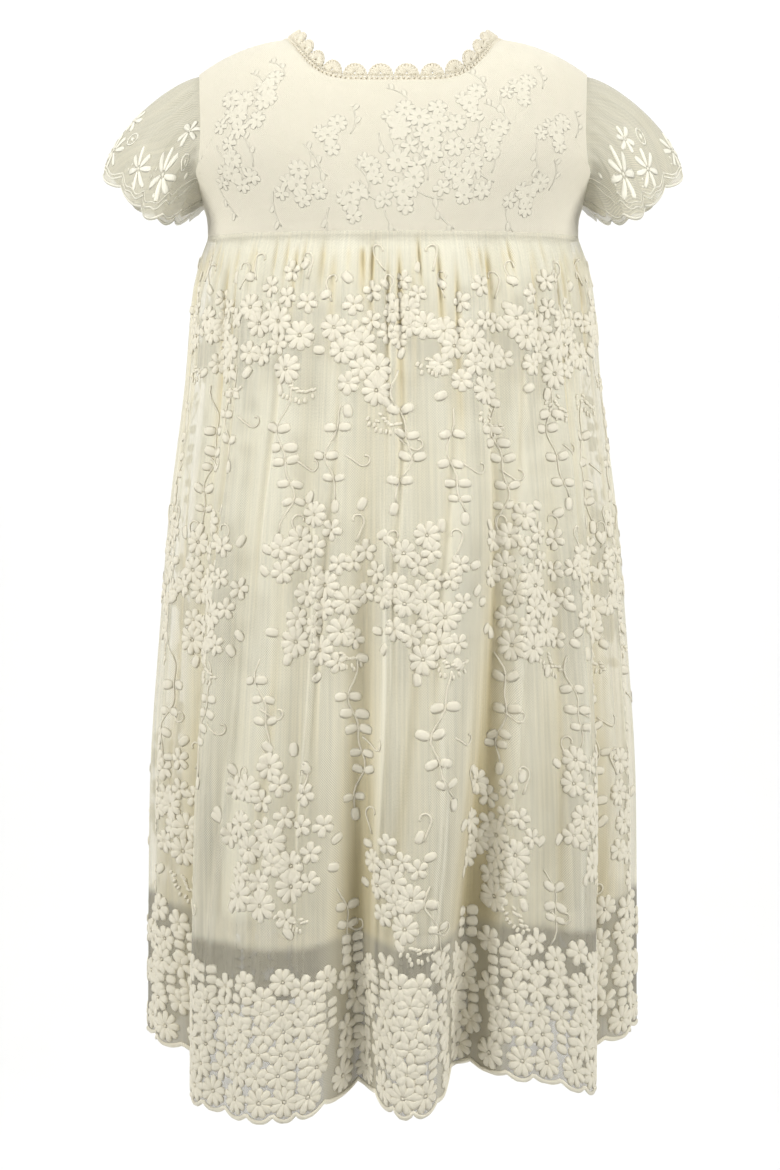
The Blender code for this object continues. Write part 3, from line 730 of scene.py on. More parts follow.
def pearl_finish():
    material, shader, start = finish("pearl_shell")
    place = start.node("ShaderNodeTexCoord", {}, {}, 3)
    bands = cloudy(start, place, 420.0, 3.0)
    feed(
        start,
        shader,
        {"Base Color": blend(start, bands, (0.80, 0.74, 0.62, 1.0), (0.92, 0.90, 0.84, 1.0)),
         "Roughness": bands * 0.12 + 0.20, "Coat Weight": 0.4, "Coat Roughness": 0.12},
        bands,
        relief=0.00004,
    )
    return material


pearl = pearl_finish()


def turned_button():
    """A button turned from shell, face up on the origin."""
    bpy.ops.object.select_all(action="DESELECT")
    bpy.ops.mesh.primitive_cylinder_add(
        vertices=32, radius=BUTTON_RADIUS, depth=BUTTON_THICKNESS, location=(0.0, 0.0, BUTTON_THICKNESS / 2)
    )
    button = bpy.context.object
    bpy.ops.object.transform_apply(location=True, rotation=True, scale=True)
    bpy.ops.object.mode_set(mode="EDIT")
    bpy.ops.mesh.select_all(action="DESELECT")
    bpy.ops.object.mode_set(mode="OBJECT")
    for polygon in button.data.polygons:
        polygon.select = polygon.normal.z > 0.9
    bpy.ops.object.mode_set(mode="EDIT")
    bpy.ops.mesh.select_mode(type="FACE")
    bpy.ops.mesh.inset(thickness=0.0011, depth=0.0)
    bpy.ops.mesh.inset(thickness=0.0005, depth=-BUTTON_DISH)
    bpy.ops.mesh.inset(thickness=0.0012, depth=0.0)
    bpy.ops.object.mode_set(mode="OBJECT")
    rim = button.modifiers.new("rim", "BEVEL")
    rim.width, rim.segments, rim.limit_method = 0.0004, 3, "ANGLE"
    bpy.ops.object.modifier_apply(modifier="rim")
    for offset in (-BUTTON_HOLE_OFFSET, BUTTON_HOLE_OFFSET):
        bpy.ops.mesh.primitive_torus_add(
            major_segments=16, minor_segments=6, major_radius=0.00055, minor_radius=0.00018,
            location=(offset, 0.0, BUTTON_THICKNESS - BUTTON_DISH),
        )
        bpy.ops.object.transform_apply(location=True, rotation=True, scale=True)
        button.select_set(True)
        bpy.context.view_layer.objects.active = button
        bpy.ops.object.join()
        bpy.ops.object.select_all(action="DESELECT")
    return button


pattern_button = turned_button()
for number, drop in enumerate(BUTTON_DROPS, 1):
    climb = 180.0 - math.degrees(math.asin((WAIST_DROP - drop) / WAIST_DROP))
    out = Vector(out_of_yoke(np.array(0.0), np.array(climb)))
    seat = Vector(on_yoke(0.0, climb)) + out * (LAP_LIFT + LAP_THICKNESS / 2 + SEAM_GAP)
    turned = out.to_track_quat("Z", "Y").to_matrix().to_4x4()
    turned.translation = seat
    button = put_in_scene(f"pearl_button_{number}", pattern_button.data.copy())
    button.data.transform(turned)
    button.data.materials.append(pearl)
    alone(button)
    bpy.ops.object.shade_smooth_by_angle(angle=math.radians(40))
    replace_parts(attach(button, "root"), f"button_{number}")
bpy.data.objects.remove(pattern_button, do_unlink=True)


# The lining skirt
# Two panels of plain cotton lawn sewn into the waist seam, less full than the net and 9 cm shorter. The hem
# is turned up twice and sewn with one line of stitches.

SKIRT_LENGTH = 0.461
LINING_LENGTH = 0.368
LINING_HEM = 0.012
LINING_CUT = 0.38
LINING_ROWS = 54
LINING_COLUMNS = 201
TURNED_ROWS = 4
TURNED_INSET = 0.0006
PRESSED_OUT = (1.018, 1.022, 1.0)
PRESSED_UP = (0.0, 0.0, 0.0050)
SKIRT_RINGS = (
    # drop, half_width, front_depth, back_depth
    (0.000, 0.1046, 0.0830, 0.0790),
    (0.012, 0.1078, 0.0885, 0.0835),
    (0.030, 0.1118, 0.0950, 0.0890),
    (0.080, 0.1163, 0.1060, 0.0980),
    (0.150, 0.1253, 0.1180, 0.1075),
    (0.222, 0.1317, 0.1275, 0.1155),
    (0.292, 0.1370, 0.1360, 0.1220),
    (0.363, 0.1390, 0.1420, 0.1270),
    (0.420, 0.1400, 0.1455, 0.1300),
    (0.470, 0.1410, 0.1475, 0.1325),
)
LINING_INSETS = (
    # drop, inset
    (0.000, 0.0060),
    (0.012, 0.0082),
    (0.030, 0.0100),
    (0.100, 0.0125),
    (0.250, 0.0175),
    (0.400, 0.0215),
)
FOLDS = (
    # waist_angle, hem_angle, half_width, waist_depth, middle_depth, hem_depth
    (-78.0, -81.0, 6.0, 0.0010, 0.0050, 0.0110),
    (-55.0, -62.0, 6.5, 0.0020, 0.0095, 0.0270),
    (-38.0, -41.0, 5.0, 0.0015, 0.0050, 0.0030),
    (-22.0, -24.0, 5.5, 0.0015, 0.0065, 0.0050),
    (-6.0, -9.0, 6.5, 0.0025, 0.0105, 0.0330),
    (9.0, 5.0, 5.0, 0.0015, 0.0045, 0.0030),
    (31.0, 19.0, 7.0, 0.0025, 0.0115, 0.0390),
    (46.0, 35.0, 6.0, 0.0015, 0.0055, 0.0060),
    (63.0, 62.0, 6.5, 0.0020, 0.0095, 0.0270),
    (79.0, 81.0, 6.0, 0.0010, 0.0050, 0.0110),
    (105.0, 103.0, 7.0, 0.0020, 0.0080, 0.0200),
    (121.0, 122.0, 5.5, 0.0015, 0.0055, 0.0060),
    (138.0, 142.0, 7.0, 0.0020, 0.0095, 0.0260),
    (155.0, 158.0, 5.0, 0.0015, 0.0050, 0.0040),
    (171.0, 173.0, 6.5, 0.0025, 0.0100, 0.0240),
    (188.0, 186.0, 5.5, 0.0015, 0.0050, 0.0040),
    (204.0, 201.0, 7.0, 0.0020, 0.0100, 0.0280),
    (221.0, 219.0, 5.0, 0.0015, 0.0055, 0.0050),
    (238.0, 235.0, 7.0, 0.0020, 0.0090, 0.0240),
    (256.0, 257.0, 6.0, 0.0015, 0.0060, 0.0140),
)
LINING_CREASES = (
    # top_angle, bottom_angle, top, bottom, half_width, depth
    (-70.0, -74.0, 0.04, 0.30, 2.5, 0.0018),
    (-31.0, -33.0, 0.02, 0.24, 2.0, 0.0016),
    (-14.0, -17.0, 0.10, 0.36, 2.6, 0.0020),
    (2.0, -1.0, 0.03, 0.26, 2.2, 0.0015),
    (21.0, 12.0, 0.08, 0.36, 2.4, 0.0022),
    (39.0, 29.0, 0.04, 0.30, 2.2, 0.0018),
    (55.0, 52.0, 0.12, 0.37, 2.8, 0.0020),
    (71.0, 72.0, 0.05, 0.28, 2.2, 0.0016),
    (113.0, 112.0, 0.05, 0.33, 2.4, 0.0018),
    (130.0, 131.0, 0.10, 0.37, 2.2, 0.0020),
    (147.0, 150.0, 0.03, 0.25, 2.6, 0.0016),
    (163.0, 165.0, 0.09, 0.36, 2.2, 0.0021),
    (180.0, 179.0, 0.04, 0.28, 2.0, 0.0016),
    (196.0, 193.0, 0.08, 0.36, 2.5, 0.0019),
    (213.0, 210.0, 0.03, 0.27, 2.2, 0.0017),
    (229.0, 227.0, 0.11, 0.37, 2.6, 0.0020),
    (247.0, 246.0, 0.05, 0.30, 2.2, 0.0016),
)


def round_off(angle, centre):
    """How far round the skirt an angle is from the middle of a fold."""
    return (angle - centre + 180.0) % 360.0 - 180.0


def deep_folds(angle, drop):
    """How far the deep folds take the cloth in from its ridges."""
    share = drop / SKIRT_LENGTH
    depth = np.zeros(np.broadcast(angle, drop).shape)
    for waist_angle, hem_angle, half_width, waist_depth, middle_depth, hem_depth in FOLDS:
        off = round_off(angle, waist_angle + (hem_angle - waist_angle) * ease(share))
        spread = half_width * (0.70 + 0.35 * share)
        profile = ((0.0, waist_depth), (0.42, middle_depth), (1.0, hem_depth))
        depth += curve_through(profile, share)[..., 0] * np.exp(-((off / spread) ** 2))
    return depth


def creases(table, angle, drop):
    """Soft troughs, and ridges where the depth is negative, that fade out at both ends."""
    depth = np.zeros(np.broadcast(angle, drop).shape)
    for top_angle, bottom_angle, top, bottom, half_width, most in table:
        along = np.clip((drop - top) / (bottom - top), 0.0, 1.0)
        centre = top_angle + (bottom_angle - top_angle) * along + 1.2 * np.sin(2 * math.pi * along)
        fade = np.sin(math.pi * along) ** 0.8
        depth += most * fade * np.exp(-((round_off(angle, centre) / half_width) ** 2))
    return depth


def panel_angle(share, back):
    """The angle round the skirt at a share of the way across a panel, spaced a little unevenly."""
    uneven = share + 0.0060 * np.sin(6 * math.pi * share) + 0.0035 * np.sin(14 * math.pi * share)
    edge = math.degrees(0.8 * SEAM_GAP / YOKE_FRONT_DEPTH)
    return -90.0 + edge + (180.0 - 2 * edge) * uneven + (180.0 if back else 0.0)


def on_skirt(angle, drop, inset):
    """Points on the skirt's outline, taken in by inset."""
    half_width, front, behind = np.moveaxis(curve_through(SKIRT_RINGS, drop), -1, 0)
    turn = np.radians(angle)
    depth = np.where(np.cos(turn) > 0, front, behind)
    out = unit(np.stack([np.sin(turn) / half_width, -np.cos(turn) / depth, turn * 0], -1))
    height = -WAIST_DROP - SEAM_GAP - drop
    return np.stack([half_width * np.sin(turn), -depth * np.cos(turn), height], -1) - out * inset[..., None]


def lawn_finish():
    """Plain-woven cotton lawn, with the line of stitches above its hem, and painted shade in its deep folds.
    """
    material, shader, start = finish("cotton_lawn")
    place, along, down = flat_place(start)
    # Painted shade: by the fold mark, the lawn is blended to a dark warm brown where it lies deep in a fold.
    fold = start.node("ShaderNodeAttribute", {"attribute_name": "fold"}, {}, 2)
    weave = along.wave(0.00050) * 0.5 + down.wave(0.00050) * 0.5
    patches = cloudy(start, place, 22.0, 3.0)
    stitch_line = -LINING_LENGTH + LINING_HEM
    off_line = start.maths("ABSOLUTE", down - stitch_line)
    row = (1.0 - off_line.above(0.0005, 0.0003)) * along.wave(0.0030).above(0.35, 0.1)
    turned_up = 1.0 - down.above(stitch_line, 0.0004)
    tone = weave * 0.25 + patches * 0.75 - row * 0.5 + turned_up * 0.7
    open_cloth = blend(start, tone, (0.79, 0.78, 0.66, 1.0), (0.87, 0.87, 0.76, 1.0))
    feed(
        start,
        shader,
        {"Base Color": blend(start, fold, open_cloth, (0.50, 0.44, 0.26, 1.0)), "Roughness": 0.92,
         "Sheen Weight": 0.2, "Specular IOR Level": 0.2},
        weave * 0.4 + patches * 1.5 - row * 2.0,
        relief=0.00012,
    )
    return material


lawn = lawn_finish()


def sew_lining(name, node, back):
    """A panel of the lining, with its hem turned up inside and its top edge pressed up inside the yoke."""
    turned_up = LINING_LENGTH - np.linspace(0.0002, LINING_HEM, TURNED_ROWS)
    drops = np.concatenate([np.linspace(0.0, LINING_LENGTH, LINING_ROWS), turned_up])
    turned_in = np.concatenate([np.zeros(LINING_ROWS), np.full(TURNED_ROWS, TURNED_INSET)])
    share, drop = np.meshgrid(np.linspace(0.0, 1.0, LINING_COLUMNS), drops)
    angle = panel_angle(share, back)
    deep = 0.60 * deep_folds(angle, drop)
    inset = curve_through(LINING_INSETS, drop)[..., 0] + deep
    inset += creases(LINING_CREASES, angle, drop) + turned_in[:, None]
    points = on_skirt(angle, drop, inset)
    flat = np.stack([share * LINING_CUT, -drop], -1)
    pressed_up = points[:1] * PRESSED_OUT + PRESSED_UP
    points, flat = np.concatenate([pressed_up, points]), np.concatenate([flat[:1] + (0.0, 0.006), flat])
    deep = np.concatenate([deep[:1], deep])
    # The fold mark carries the painted shade of the lawn's deep folds.
    piece = lay_cloth(name, points, flat, lawn, fold=np.clip(deep / 0.016, 0.0, 1.0) ** 1.3)
    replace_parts(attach(piece, "root"), node)


sew_lining("lining_front_lawn", "lining_front", False)
sew_lining("lining_back_lawn", "lining_back", True)


# The net skirt
# Two full panels of soft cotton net, gathered by hand to the waist seam. The net is doubled up in the
# gathers, so they look deeper in colour, and falls from them in soft folds to a scalloped hem. The darker
# warm tone in the gathers' slits and the folds is partly that doubling and partly painted shade, and the deep
# folds low down get more painted shade.

GATHERS_A_PANEL = 46
SCALLOPS_A_PANEL = 32
SCALLOP_DEPTH = 0.0036
NET_CUT_WIDTH = 0.52
SEAM_LAP = 0.005
TUCKED_IN = 0.004
HELD_FLAT = 0.0060
NET_LIFT = 0.0004
# Below this level, under the lining's hem, the net is given painted shade.
ALONE_BELOW = 0.3715
SHADED_ABOVE = 0.27
HEM_RISES = (
    # angle, rise
    (-90.0, 0.014),
    (-72.0, 0.018),
    (-58.0, 0.001),
    (-45.0, -0.004),
    (-25.0, -0.005),
    (-9.0, 0.006),
    (5.0, 0.000),
    (20.0, 0.014),
    (35.0, 0.013),
    (50.0, 0.002),
    (58.0, 0.003),
    (72.0, 0.022),
    (90.0, 0.018),
    (120.0, 0.008),
    (150.0, 0.010),
    (190.0, 0.005),
    (235.0, 0.010),
    (270.0, 0.014),
)
NET_CREASES = (
    # top_angle, bottom_angle, top, bottom, half_width, depth
    (-84.0, -86.0, 0.03, 0.26, 1.6, 0.0022),
    (-71.0, -73.0, 0.02, 0.20, 1.3, 0.0020),
    (-66.0, -69.0, 0.10, 0.44, 1.8, 0.0034),
    (-48.0, -52.0, 0.03, 0.30, 1.4, 0.0028),
    (-45.0, -49.0, 0.18, 0.45, 1.6, -0.0020),
    (-33.0, -34.0, 0.02, 0.22, 1.3, 0.0026),
    (-29.0, -32.0, 0.14, 0.43, 1.7, 0.0032),
    (-15.0, -18.0, 0.02, 0.33, 1.4, 0.0030),
    (-11.0, -2.0, 0.20, 0.46, 1.6, -0.0022),
    (2.0, 1.0, 0.02, 0.26, 1.3, 0.0028),
    (5.0, -1.0, 0.16, 0.44, 1.7, 0.0030),
    (16.0, 10.0, 0.02, 0.30, 1.5, 0.0030),
    (22.0, 12.0, 0.20, 0.46, 1.5, -0.0022),
    (26.0, 27.0, 0.05, 0.40, 1.5, 0.0026),
    (38.0, 30.0, 0.02, 0.24, 1.3, 0.0028),
    (43.0, 43.0, 0.14, 0.45, 1.8, 0.0034),
    (55.0, 53.0, 0.02, 0.28, 1.4, 0.0026),
    (60.0, 57.0, 0.20, 0.46, 1.5, -0.0018),
    (70.0, 72.0, 0.03, 0.36, 1.6, 0.0028),
    (85.0, 86.0, 0.05, 0.30, 1.5, 0.0022),
    (97.0, 96.0, 0.03, 0.30, 1.5, 0.0026),
    (112.0, 113.0, 0.08, 0.42, 1.7, 0.0030),
    (116.0, 117.0, 0.02, 0.22, 1.3, 0.0024),
    (129.0, 131.0, 0.02, 0.34, 1.5, 0.0030),
    (147.0, 151.0, 0.10, 0.45, 1.7, 0.0032),
    (151.0, 153.0, 0.02, 0.24, 1.3, 0.0024),
    (163.0, 165.0, 0.03, 0.36, 1.5, 0.0028),
    (180.0, 180.0, 0.08, 0.44, 1.8, 0.0032),
    (184.0, 182.0, 0.02, 0.22, 1.3, 0.0024),
    (196.0, 193.0, 0.03, 0.34, 1.5, 0.0030),
    (213.0, 210.0, 0.10, 0.45, 1.7, 0.0030),
    (217.0, 214.0, 0.02, 0.25, 1.3, 0.0026),
    (229.0, 227.0, 0.04, 0.38, 1.6, 0.0030),
    (247.0, 247.0, 0.02, 0.30, 1.4, 0.0028),
    (251.0, 250.0, 0.16, 0.45, 1.6, 0.0024),
    (264.0, 264.0, 0.04, 0.32, 1.5, 0.0022),
    (-57.0, -60.0, 0.16, 0.47, 0.8, -0.0024),
    (-40.0, -46.0, 0.20, 0.46, 0.7, -0.0022),
    (-20.0, -21.0, 0.12, 0.42, 0.7, -0.0020),
    (-2.0, -4.0, 0.14, 0.47, 0.8, -0.0026),
    (11.0, 8.0, 0.24, 0.46, 0.7, -0.0022),
    (34.0, 25.0, 0.10, 0.47, 0.8, -0.0026),
    (51.0, 47.0, 0.15, 0.42, 0.7, -0.0022),
    (66.0, 67.0, 0.20, 0.46, 0.8, -0.0022),
    (125.0, 127.0, 0.14, 0.46, 0.8, -0.0024),
    (158.0, 162.0, 0.18, 0.46, 0.7, -0.0022),
    (190.0, 189.0, 0.12, 0.45, 0.8, -0.0024),
    (222.0, 224.0, 0.20, 0.46, 0.7, -0.0022),
    (243.0, 241.0, 0.14, 0.44, 0.8, -0.0022),
)


def net_finish(name, light, deep, shaded_alone, cover):
    """Soft net: a fine diamond mesh, denser where doubled; darker and warmer in gathers and folds, partly
    doubled net and partly painted shade; painted shade where it hangs alone.
    """
    material, shader, start = finish(name)
    place, along, down = flat_place(start)
    fold = start.node("ShaderNodeAttribute", {"attribute_name": "fold"}, {}, 2)
    edge = start.node("ShaderNodeAttribute", {"attribute_name": "edge"}, {}, 2)
    threads = (along + down * 0.75).wave(0.00105).larger((along - down * 0.75).wave(0.00105))
    mesh = threads.above(0.80, 0.16)
    patches = cloudy(start, place, 30.0, 3.0)
    drawn_out = start.node("ShaderNodeMapping", {}, {"Vector": place, "Scale": (420.0, 9.0, 1.0)})
    streaks = cloudy(start, drawn_out, 1.0, 2.0)
    # Painted shade: where the net hangs alone below the lining it is blended to a dark grey-brown and drawn
    # denser, for the shaded inside of the skirt seen through it.
    alone_here = 1.0 - down.above(-ALONE_BELOW, 0.0035)
    # Painted shade: the deep folds low on the skirt are blended to a dark brown.
    shade = fold * (1.0 - down.above(-SHADED_ABOVE, 0.15)) * 0.85
    dense = mesh * 0.34 + cover + fold * 0.30 + edge * 0.22 + (patches - 0.5) * 0.16 + (streaks - 0.5) * 0.40
    # Darker, warmer tone by the fold mark: partly the net doubled in its gathers, partly painted shade in
    # slits and folds.
    tone = fold + (patches - 0.5) * 0.25 + (streaks - 0.5) * 0.30 - edge * 0.25 + 0.10
    colour = blend(start, shade, blend(start, tone, light, deep), (0.40, 0.35, 0.21, 1.0))
    feed(
        start,
        shader,
        {"Base Color": blend(start, alone_here * (1.0 - edge * 0.35), colour, shaded_alone),
         "Roughness": 0.88, "Alpha": dense + alone_here * 0.12, "Sheen Weight": 0.25, "Sheen Roughness": 0.4,
         "Specular IOR Level": 0.2},
        threads * 0.4 + streaks * 1.2,
        relief=0.00025,
    )
    return material


# The second colour is the net's tone in gathers and folds, partly doubled net and partly painted shade; the
# third is painted shade where the net hangs alone.
net = net_finish(
    "soft_cotton_net", (0.89, 0.86, 0.72, 1.0), (0.67, 0.57, 0.33, 1.0), (0.33, 0.31, 0.245, 1.0), 0.37
)


def gathered(share, drop, seed):
    """How far the small gathers take the net in: uneven slits, most of them short, a few far down."""
    chance = np.random.default_rng(seed)
    depth = np.zeros(np.broadcast(share, drop).shape)
    swell = 0.25 + 0.75 * ease(drop / 0.012)
    for number in range(GATHERS_A_PANEL):
        middle = (number + 0.5 + chance.uniform(-0.38, 0.38)) / GATHERS_A_PANEL
        length, lean = chance.choice([0.030, 0.045, 0.070, 0.110, 0.170]), chance.uniform(-0.006, 0.006)
        start, most = chance.uniform(-0.004, 0.006), chance.uniform(0.0014, 0.0042)
        half_width = chance.uniform(0.0028, 0.0060) * (1.0 + 0.8 * np.clip(drop / 0.1, 0.0, 1.0))
        along = (drop - start) / length
        fade = ease(along * 6.0) * (1.0 - ease(along))
        depth += most * fade * swell * np.exp(-(((share - middle - lean * along) / half_width) ** 2))
    return np.minimum(depth, 0.0050) * ease((0.5 - np.abs(share - 0.5)) / 0.012)


def by_the_seam(share):
    """1 at the side edges of a panel and 0 away from them."""
    return ease((np.abs(share - 0.5) - 0.4985) / 0.0025)


def net_place(share, level, back):
    """A point of the net at a share across and a level down the cut, with how deep it is folded."""
    angle = panel_angle(share, back)
    hem_fold = deep_folds(angle, np.full_like(level, SKIRT_LENGTH))
    rise = curve_through(HEM_RISES, angle)[..., 0] + 0.20 * hem_fold
    drop = np.maximum(level - (level / SKIRT_LENGTH) ** 3 * rise, 0.0)
    small = gathered(share, drop, 5 if back else 4)
    crease = creases(NET_CREASES, angle, drop)
    deep = deep_folds(angle, drop)
    # The folded mark grows with the small gathers, where the net is doubled, and with creases and deep folds;
    # the net's finish paints shade by it.
    folded = np.clip(small / 0.0036, 0, 1) ** 1.2 + 0.40 * np.clip(crease / 0.004, 0, 1)
    folded += 0.85 * np.clip(deep / 0.021, 0, 1) ** 1.2
    drawn_in = 0.0013 * (1.0 - ease(drop / 0.009)) + 0.0009 * by_the_seam(share)
    return on_skirt(angle, drop, small + crease + deep + drawn_in), np.clip(folded, 0.0, 1.0)


def scallops(share):
    """How much the edge is cut away between the scallops."""
    return SCALLOP_DEPTH * (1.0 - np.abs(np.sin(math.pi * SCALLOPS_A_PANEL * share)) ** 0.7)


def over_the_waist(share, back, height, lift):
    """Points just off the outside of the yoke near its lower edge, where the net is sewn to it."""
    turn = np.radians(panel_angle(share, back))
    depth = YOKE_BACK_DEPTH if back else YOKE_FRONT_DEPTH
    out = unit(np.stack([np.sin(turn) / WAIST_HALF_WIDTH, -np.cos(turn) / depth, turn * 0], -1))
    ring = np.stack([WAIST_HALF_WIDTH * np.sin(turn), -depth * np.cos(turn), turn * 0 + height], -1)
    return ring + out * (YOKE_WALL / 2 + lift)[..., None]


def sew_net(name, node, back):
    """A panel of the net skirt. Its top edge lies flat over the yoke's lower edge, sewn through both."""
    columns, rows = 561, 90
    lap = 0.0 if back else SEAM_LAP / NET_CUT_WIDTH
    share, level = np.meshgrid(np.linspace(-lap, 1.0 + lap, columns), np.linspace(0.0, SKIRT_LENGTH, rows))
    level = level - scallops(share) * ease((level - 0.90 * SKIRT_LENGTH) / (0.10 * SKIRT_LENGTH))
    points, folded = net_place(share, level, back)
    behind = 0.0005 * by_the_seam(share) * (0.0 if back else 1.0)
    held = (1.0 - ease(level / HELD_FLAT))[..., None]
    points = points * (1.0 - held) + over_the_waist(share, back, points[..., 2], NET_LIFT - behind) * held
    across = np.gradient(points, axis=1)
    plain = on_skirt(panel_angle(share, back), level, np.zeros_like(level))
    around = unit(np.gradient(plain, axis=1))
    turned = 1.0 - np.abs(np.sum(unit(across) * around, axis=-1))
    edge = np.clip((turned - 0.10) / 0.35, 0.0, 1.0) * ease((level - 0.02) / 0.05)
    tucked = over_the_waist(share[:1], back, points[:1, :, 2] + TUCKED_IN, -NET_LIFT - behind[:1])
    flat = np.stack([share * NET_CUT_WIDTH, -level], -1)
    flat = np.concatenate([flat[:1] + (0.0, TUCKED_IN), flat])
    points, folded, edge = (np.concatenate([first, rest]) for first, rest in
                            ((tucked, points), (folded[:1], folded), (edge[:1], edge)))
    piece = lay_cloth(name, points, flat, net, fold=folded, edge=edge)
    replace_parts(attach(piece, "root"), node)
    return piece


net_front = sew_net("net_skirt_front_net", "net_skirt_front", False)
net_back = sew_net("net_skirt_back_net", "net_skirt_back", True)


# Embroidery on the skirt
# Three bands of flower sprays in thick ivory satin stitch, worked on the flat net before it was gathered.
# Vines with paired leaves and beaded ferns hang below the sprays, and curled tendrils stand beside them.

SPRAYS_FRONT = (
    # angle, level, flowers, wide, high, size
    (-78.0, 0.044, 8, 0.9, 1.1, 0.9),
    (-56.0, 0.050, 11, 0.9, 1.2, 0.95),
    (-33.0, 0.046, 13, 1.0, 1.3, 1.0),
    (-10.0, 0.058, 12, 0.8, 1.4, 1.0),
    (5.0, 0.040, 8, 0.9, 1.1, 0.9),
    (22.0, 0.056, 14, 0.9, 1.4, 1.0),
    (43.0, 0.050, 12, 0.9, 1.3, 1.0),
    (61.0, 0.054, 10, 0.9, 1.2, 0.95),
    (80.0, 0.046, 8, 0.9, 1.1, 0.9),
    (-80.0, 0.184, 17, 0.9, 1.3, 1.0),
    (-53.0, 0.190, 22, 1.0, 1.3, 1.0),
    (-17.0, 0.184, 24, 1.0, 1.35, 1.0),
    (9.0, 0.192, 20, 0.9, 1.2, 1.0),
    (36.0, 0.186, 23, 1.0, 1.3, 1.0),
    (60.0, 0.192, 16, 0.9, 1.2, 1.0),
    (82.0, 0.184, 16, 0.9, 1.3, 1.0),
    (-68.0, 0.314, 15, 0.9, 1.3, 1.0),
    (-29.0, 0.316, 24, 1.0, 1.3, 1.05),
    (0.0, 0.338, 11, 0.8, 1.3, 0.95),
    (27.0, 0.322, 16, 0.9, 1.3, 1.0),
    (50.0, 0.304, 17, 0.9, 1.3, 1.0),
    (76.0, 0.322, 17, 0.8, 1.5, 1.0),
)
VINES_FRONT = (
    # angle, level, length, pairs
    (-84.0, 0.075, 0.060, 4),
    (-60.0, 0.080, 0.075, 5),
    (-44.0, 0.070, 0.050, 3),
    (-27.0, 0.078, 0.080, 6),
    (-14.0, 0.090, 0.050, 3),
    (1.0, 0.072, 0.070, 5),
    (17.0, 0.092, 0.055, 4),
    (29.0, 0.088, 0.070, 5),
    (47.0, 0.080, 0.060, 4),
    (65.0, 0.088, 0.066, 5),
    (84.0, 0.078, 0.060, 4),
    (-70.0, 0.222, 0.070, 5),
    (-47.0, 0.226, 0.062, 4),
    (-33.0, 0.222, 0.050, 3),
    (-10.0, 0.224, 0.078, 6),
    (14.0, 0.230, 0.066, 5),
    (28.0, 0.222, 0.058, 4),
    (44.0, 0.224, 0.050, 3),
    (64.0, 0.226, 0.070, 5),
    (86.0, 0.222, 0.060, 4),
    (-80.0, 0.345, 0.030, 2),
    (-54.0, 0.330, 0.046, 3),
    (-14.0, 0.345, 0.036, 3),
    (9.0, 0.340, 0.042, 3),
    (37.0, 0.340, 0.040, 3),
    (61.0, 0.338, 0.040, 3),
)
CLEAR_OF_SEAM = 0.018
OUTERMOST_ANGLE = 88.0
BACK_SHIFT = 11.0
VINE_WIDTH = 0.0012


def shifted_round(table):
    """The same rhythm for the back panel, moved along so that the two don't match at the seams."""
    moved = []
    for angle, *rest in table:
        place = angle + BACK_SHIFT
        moved.append((place - 2 * OUTERMOST_ANGLE if place > OUTERMOST_ANGLE else place, *rest))
    return moved


def cloth_of(back):
    """A panel of the net where it lies, to be embroidered."""
    share, level = np.meshgrid(np.linspace(0.0, 1.0, 1281), np.linspace(0.0, SKIRT_LENGTH, 231))
    return LaidCloth(net_place(share, level, back)[0])


def spray(work, anchor, flowers, wide, high, size):
    """A crowded spray: large and small flowers close together, with single leaves round the outside."""
    gap = 0.0064 * size
    for k in range(flowers):
        turn = 2.4 * k + work.chance.normal() * 0.10
        away = gap * math.sqrt(k * 1.05)
        x, y = away * wide * math.cos(turn), away * high * math.sin(turn)
        petals, radius = ((9, 0.0086), (5, 0.0063), (6, 0.0066), (5, 0.0060), (8, 0.0076))[k % 5]
        work.flower(anchor, x, y, petals, radius * size)
        if petals > 5:
            work.knot(anchor, x, y, 0.0013)
    reach = gap * math.sqrt(flowers * 1.05) + 0.0020
    for k in range(flowers // 3 + 2):
        turn = 2 * math.pi * k / (flowers // 3 + 2) + work.chance.normal() * 0.3
        x, y = reach * wide * math.cos(turn), reach * high * math.sin(turn)
        work.petal(anchor, x, y, turn + work.chance.normal() * 0.5, 0.0076 * size, 0.0050 * size)


def vine(work, anchor, length, pairs):
    """A stem that wanders down from a spray, with plump leaves in pairs and a bud at its end."""
    sway, phase = work.chance.uniform(0.003, 0.007), work.chance.random() * 6.28
    fall = np.linspace(0.0, length, max(int(length / 0.0035), 6))
    x = sway * (np.sin(phase + fall * 95.0) - math.sin(phase)) + 0.0015 * np.sin(phase * 2 + fall * 260.0)
    work.stem(anchor, x, -fall, VINE_WIDTH)
    down = length * work.chance.uniform(0.20, 0.34)
    for k in range(pairs):
        if down > length * 0.94:
            break
        middle = float(np.interp(down, fall, x))
        size = 0.0084 * (1.0 - 0.16 * k / pairs) * work.chance.uniform(0.85, 1.05)
        droop = work.chance.uniform(-0.45, 0.30)
        for side in (-droop, math.pi + droop):
            turn = side + work.chance.normal() * 0.10
            root = middle + 0.0003 * math.copysign(1, math.cos(turn))
            work.petal(anchor, root, -down, turn, size, size * 0.64)
        down += work.chance.uniform(0.0062, 0.0160)
    work.petal(anchor, float(x[-1]), -length, -math.pi / 2 + work.chance.normal() * 0.2, 0.0074, 0.0052)


def tendril(work, anchor, x, y, size, turn, way):
    """A stem that ends in a curl, like the handle of a cane."""
    angle = np.concatenate([np.zeros(4), np.linspace(0.0, 4.2, 13)])
    step = np.concatenate([np.full(4, 0.30), np.linspace(0.17, 0.05, 13)]) * size
    heading = turn + way * angle
    x, y = x + np.cumsum(step * np.cos(heading)), y + np.cumsum(step * np.sin(heading))
    work.stem(anchor, x, y, VINE_WIDTH)


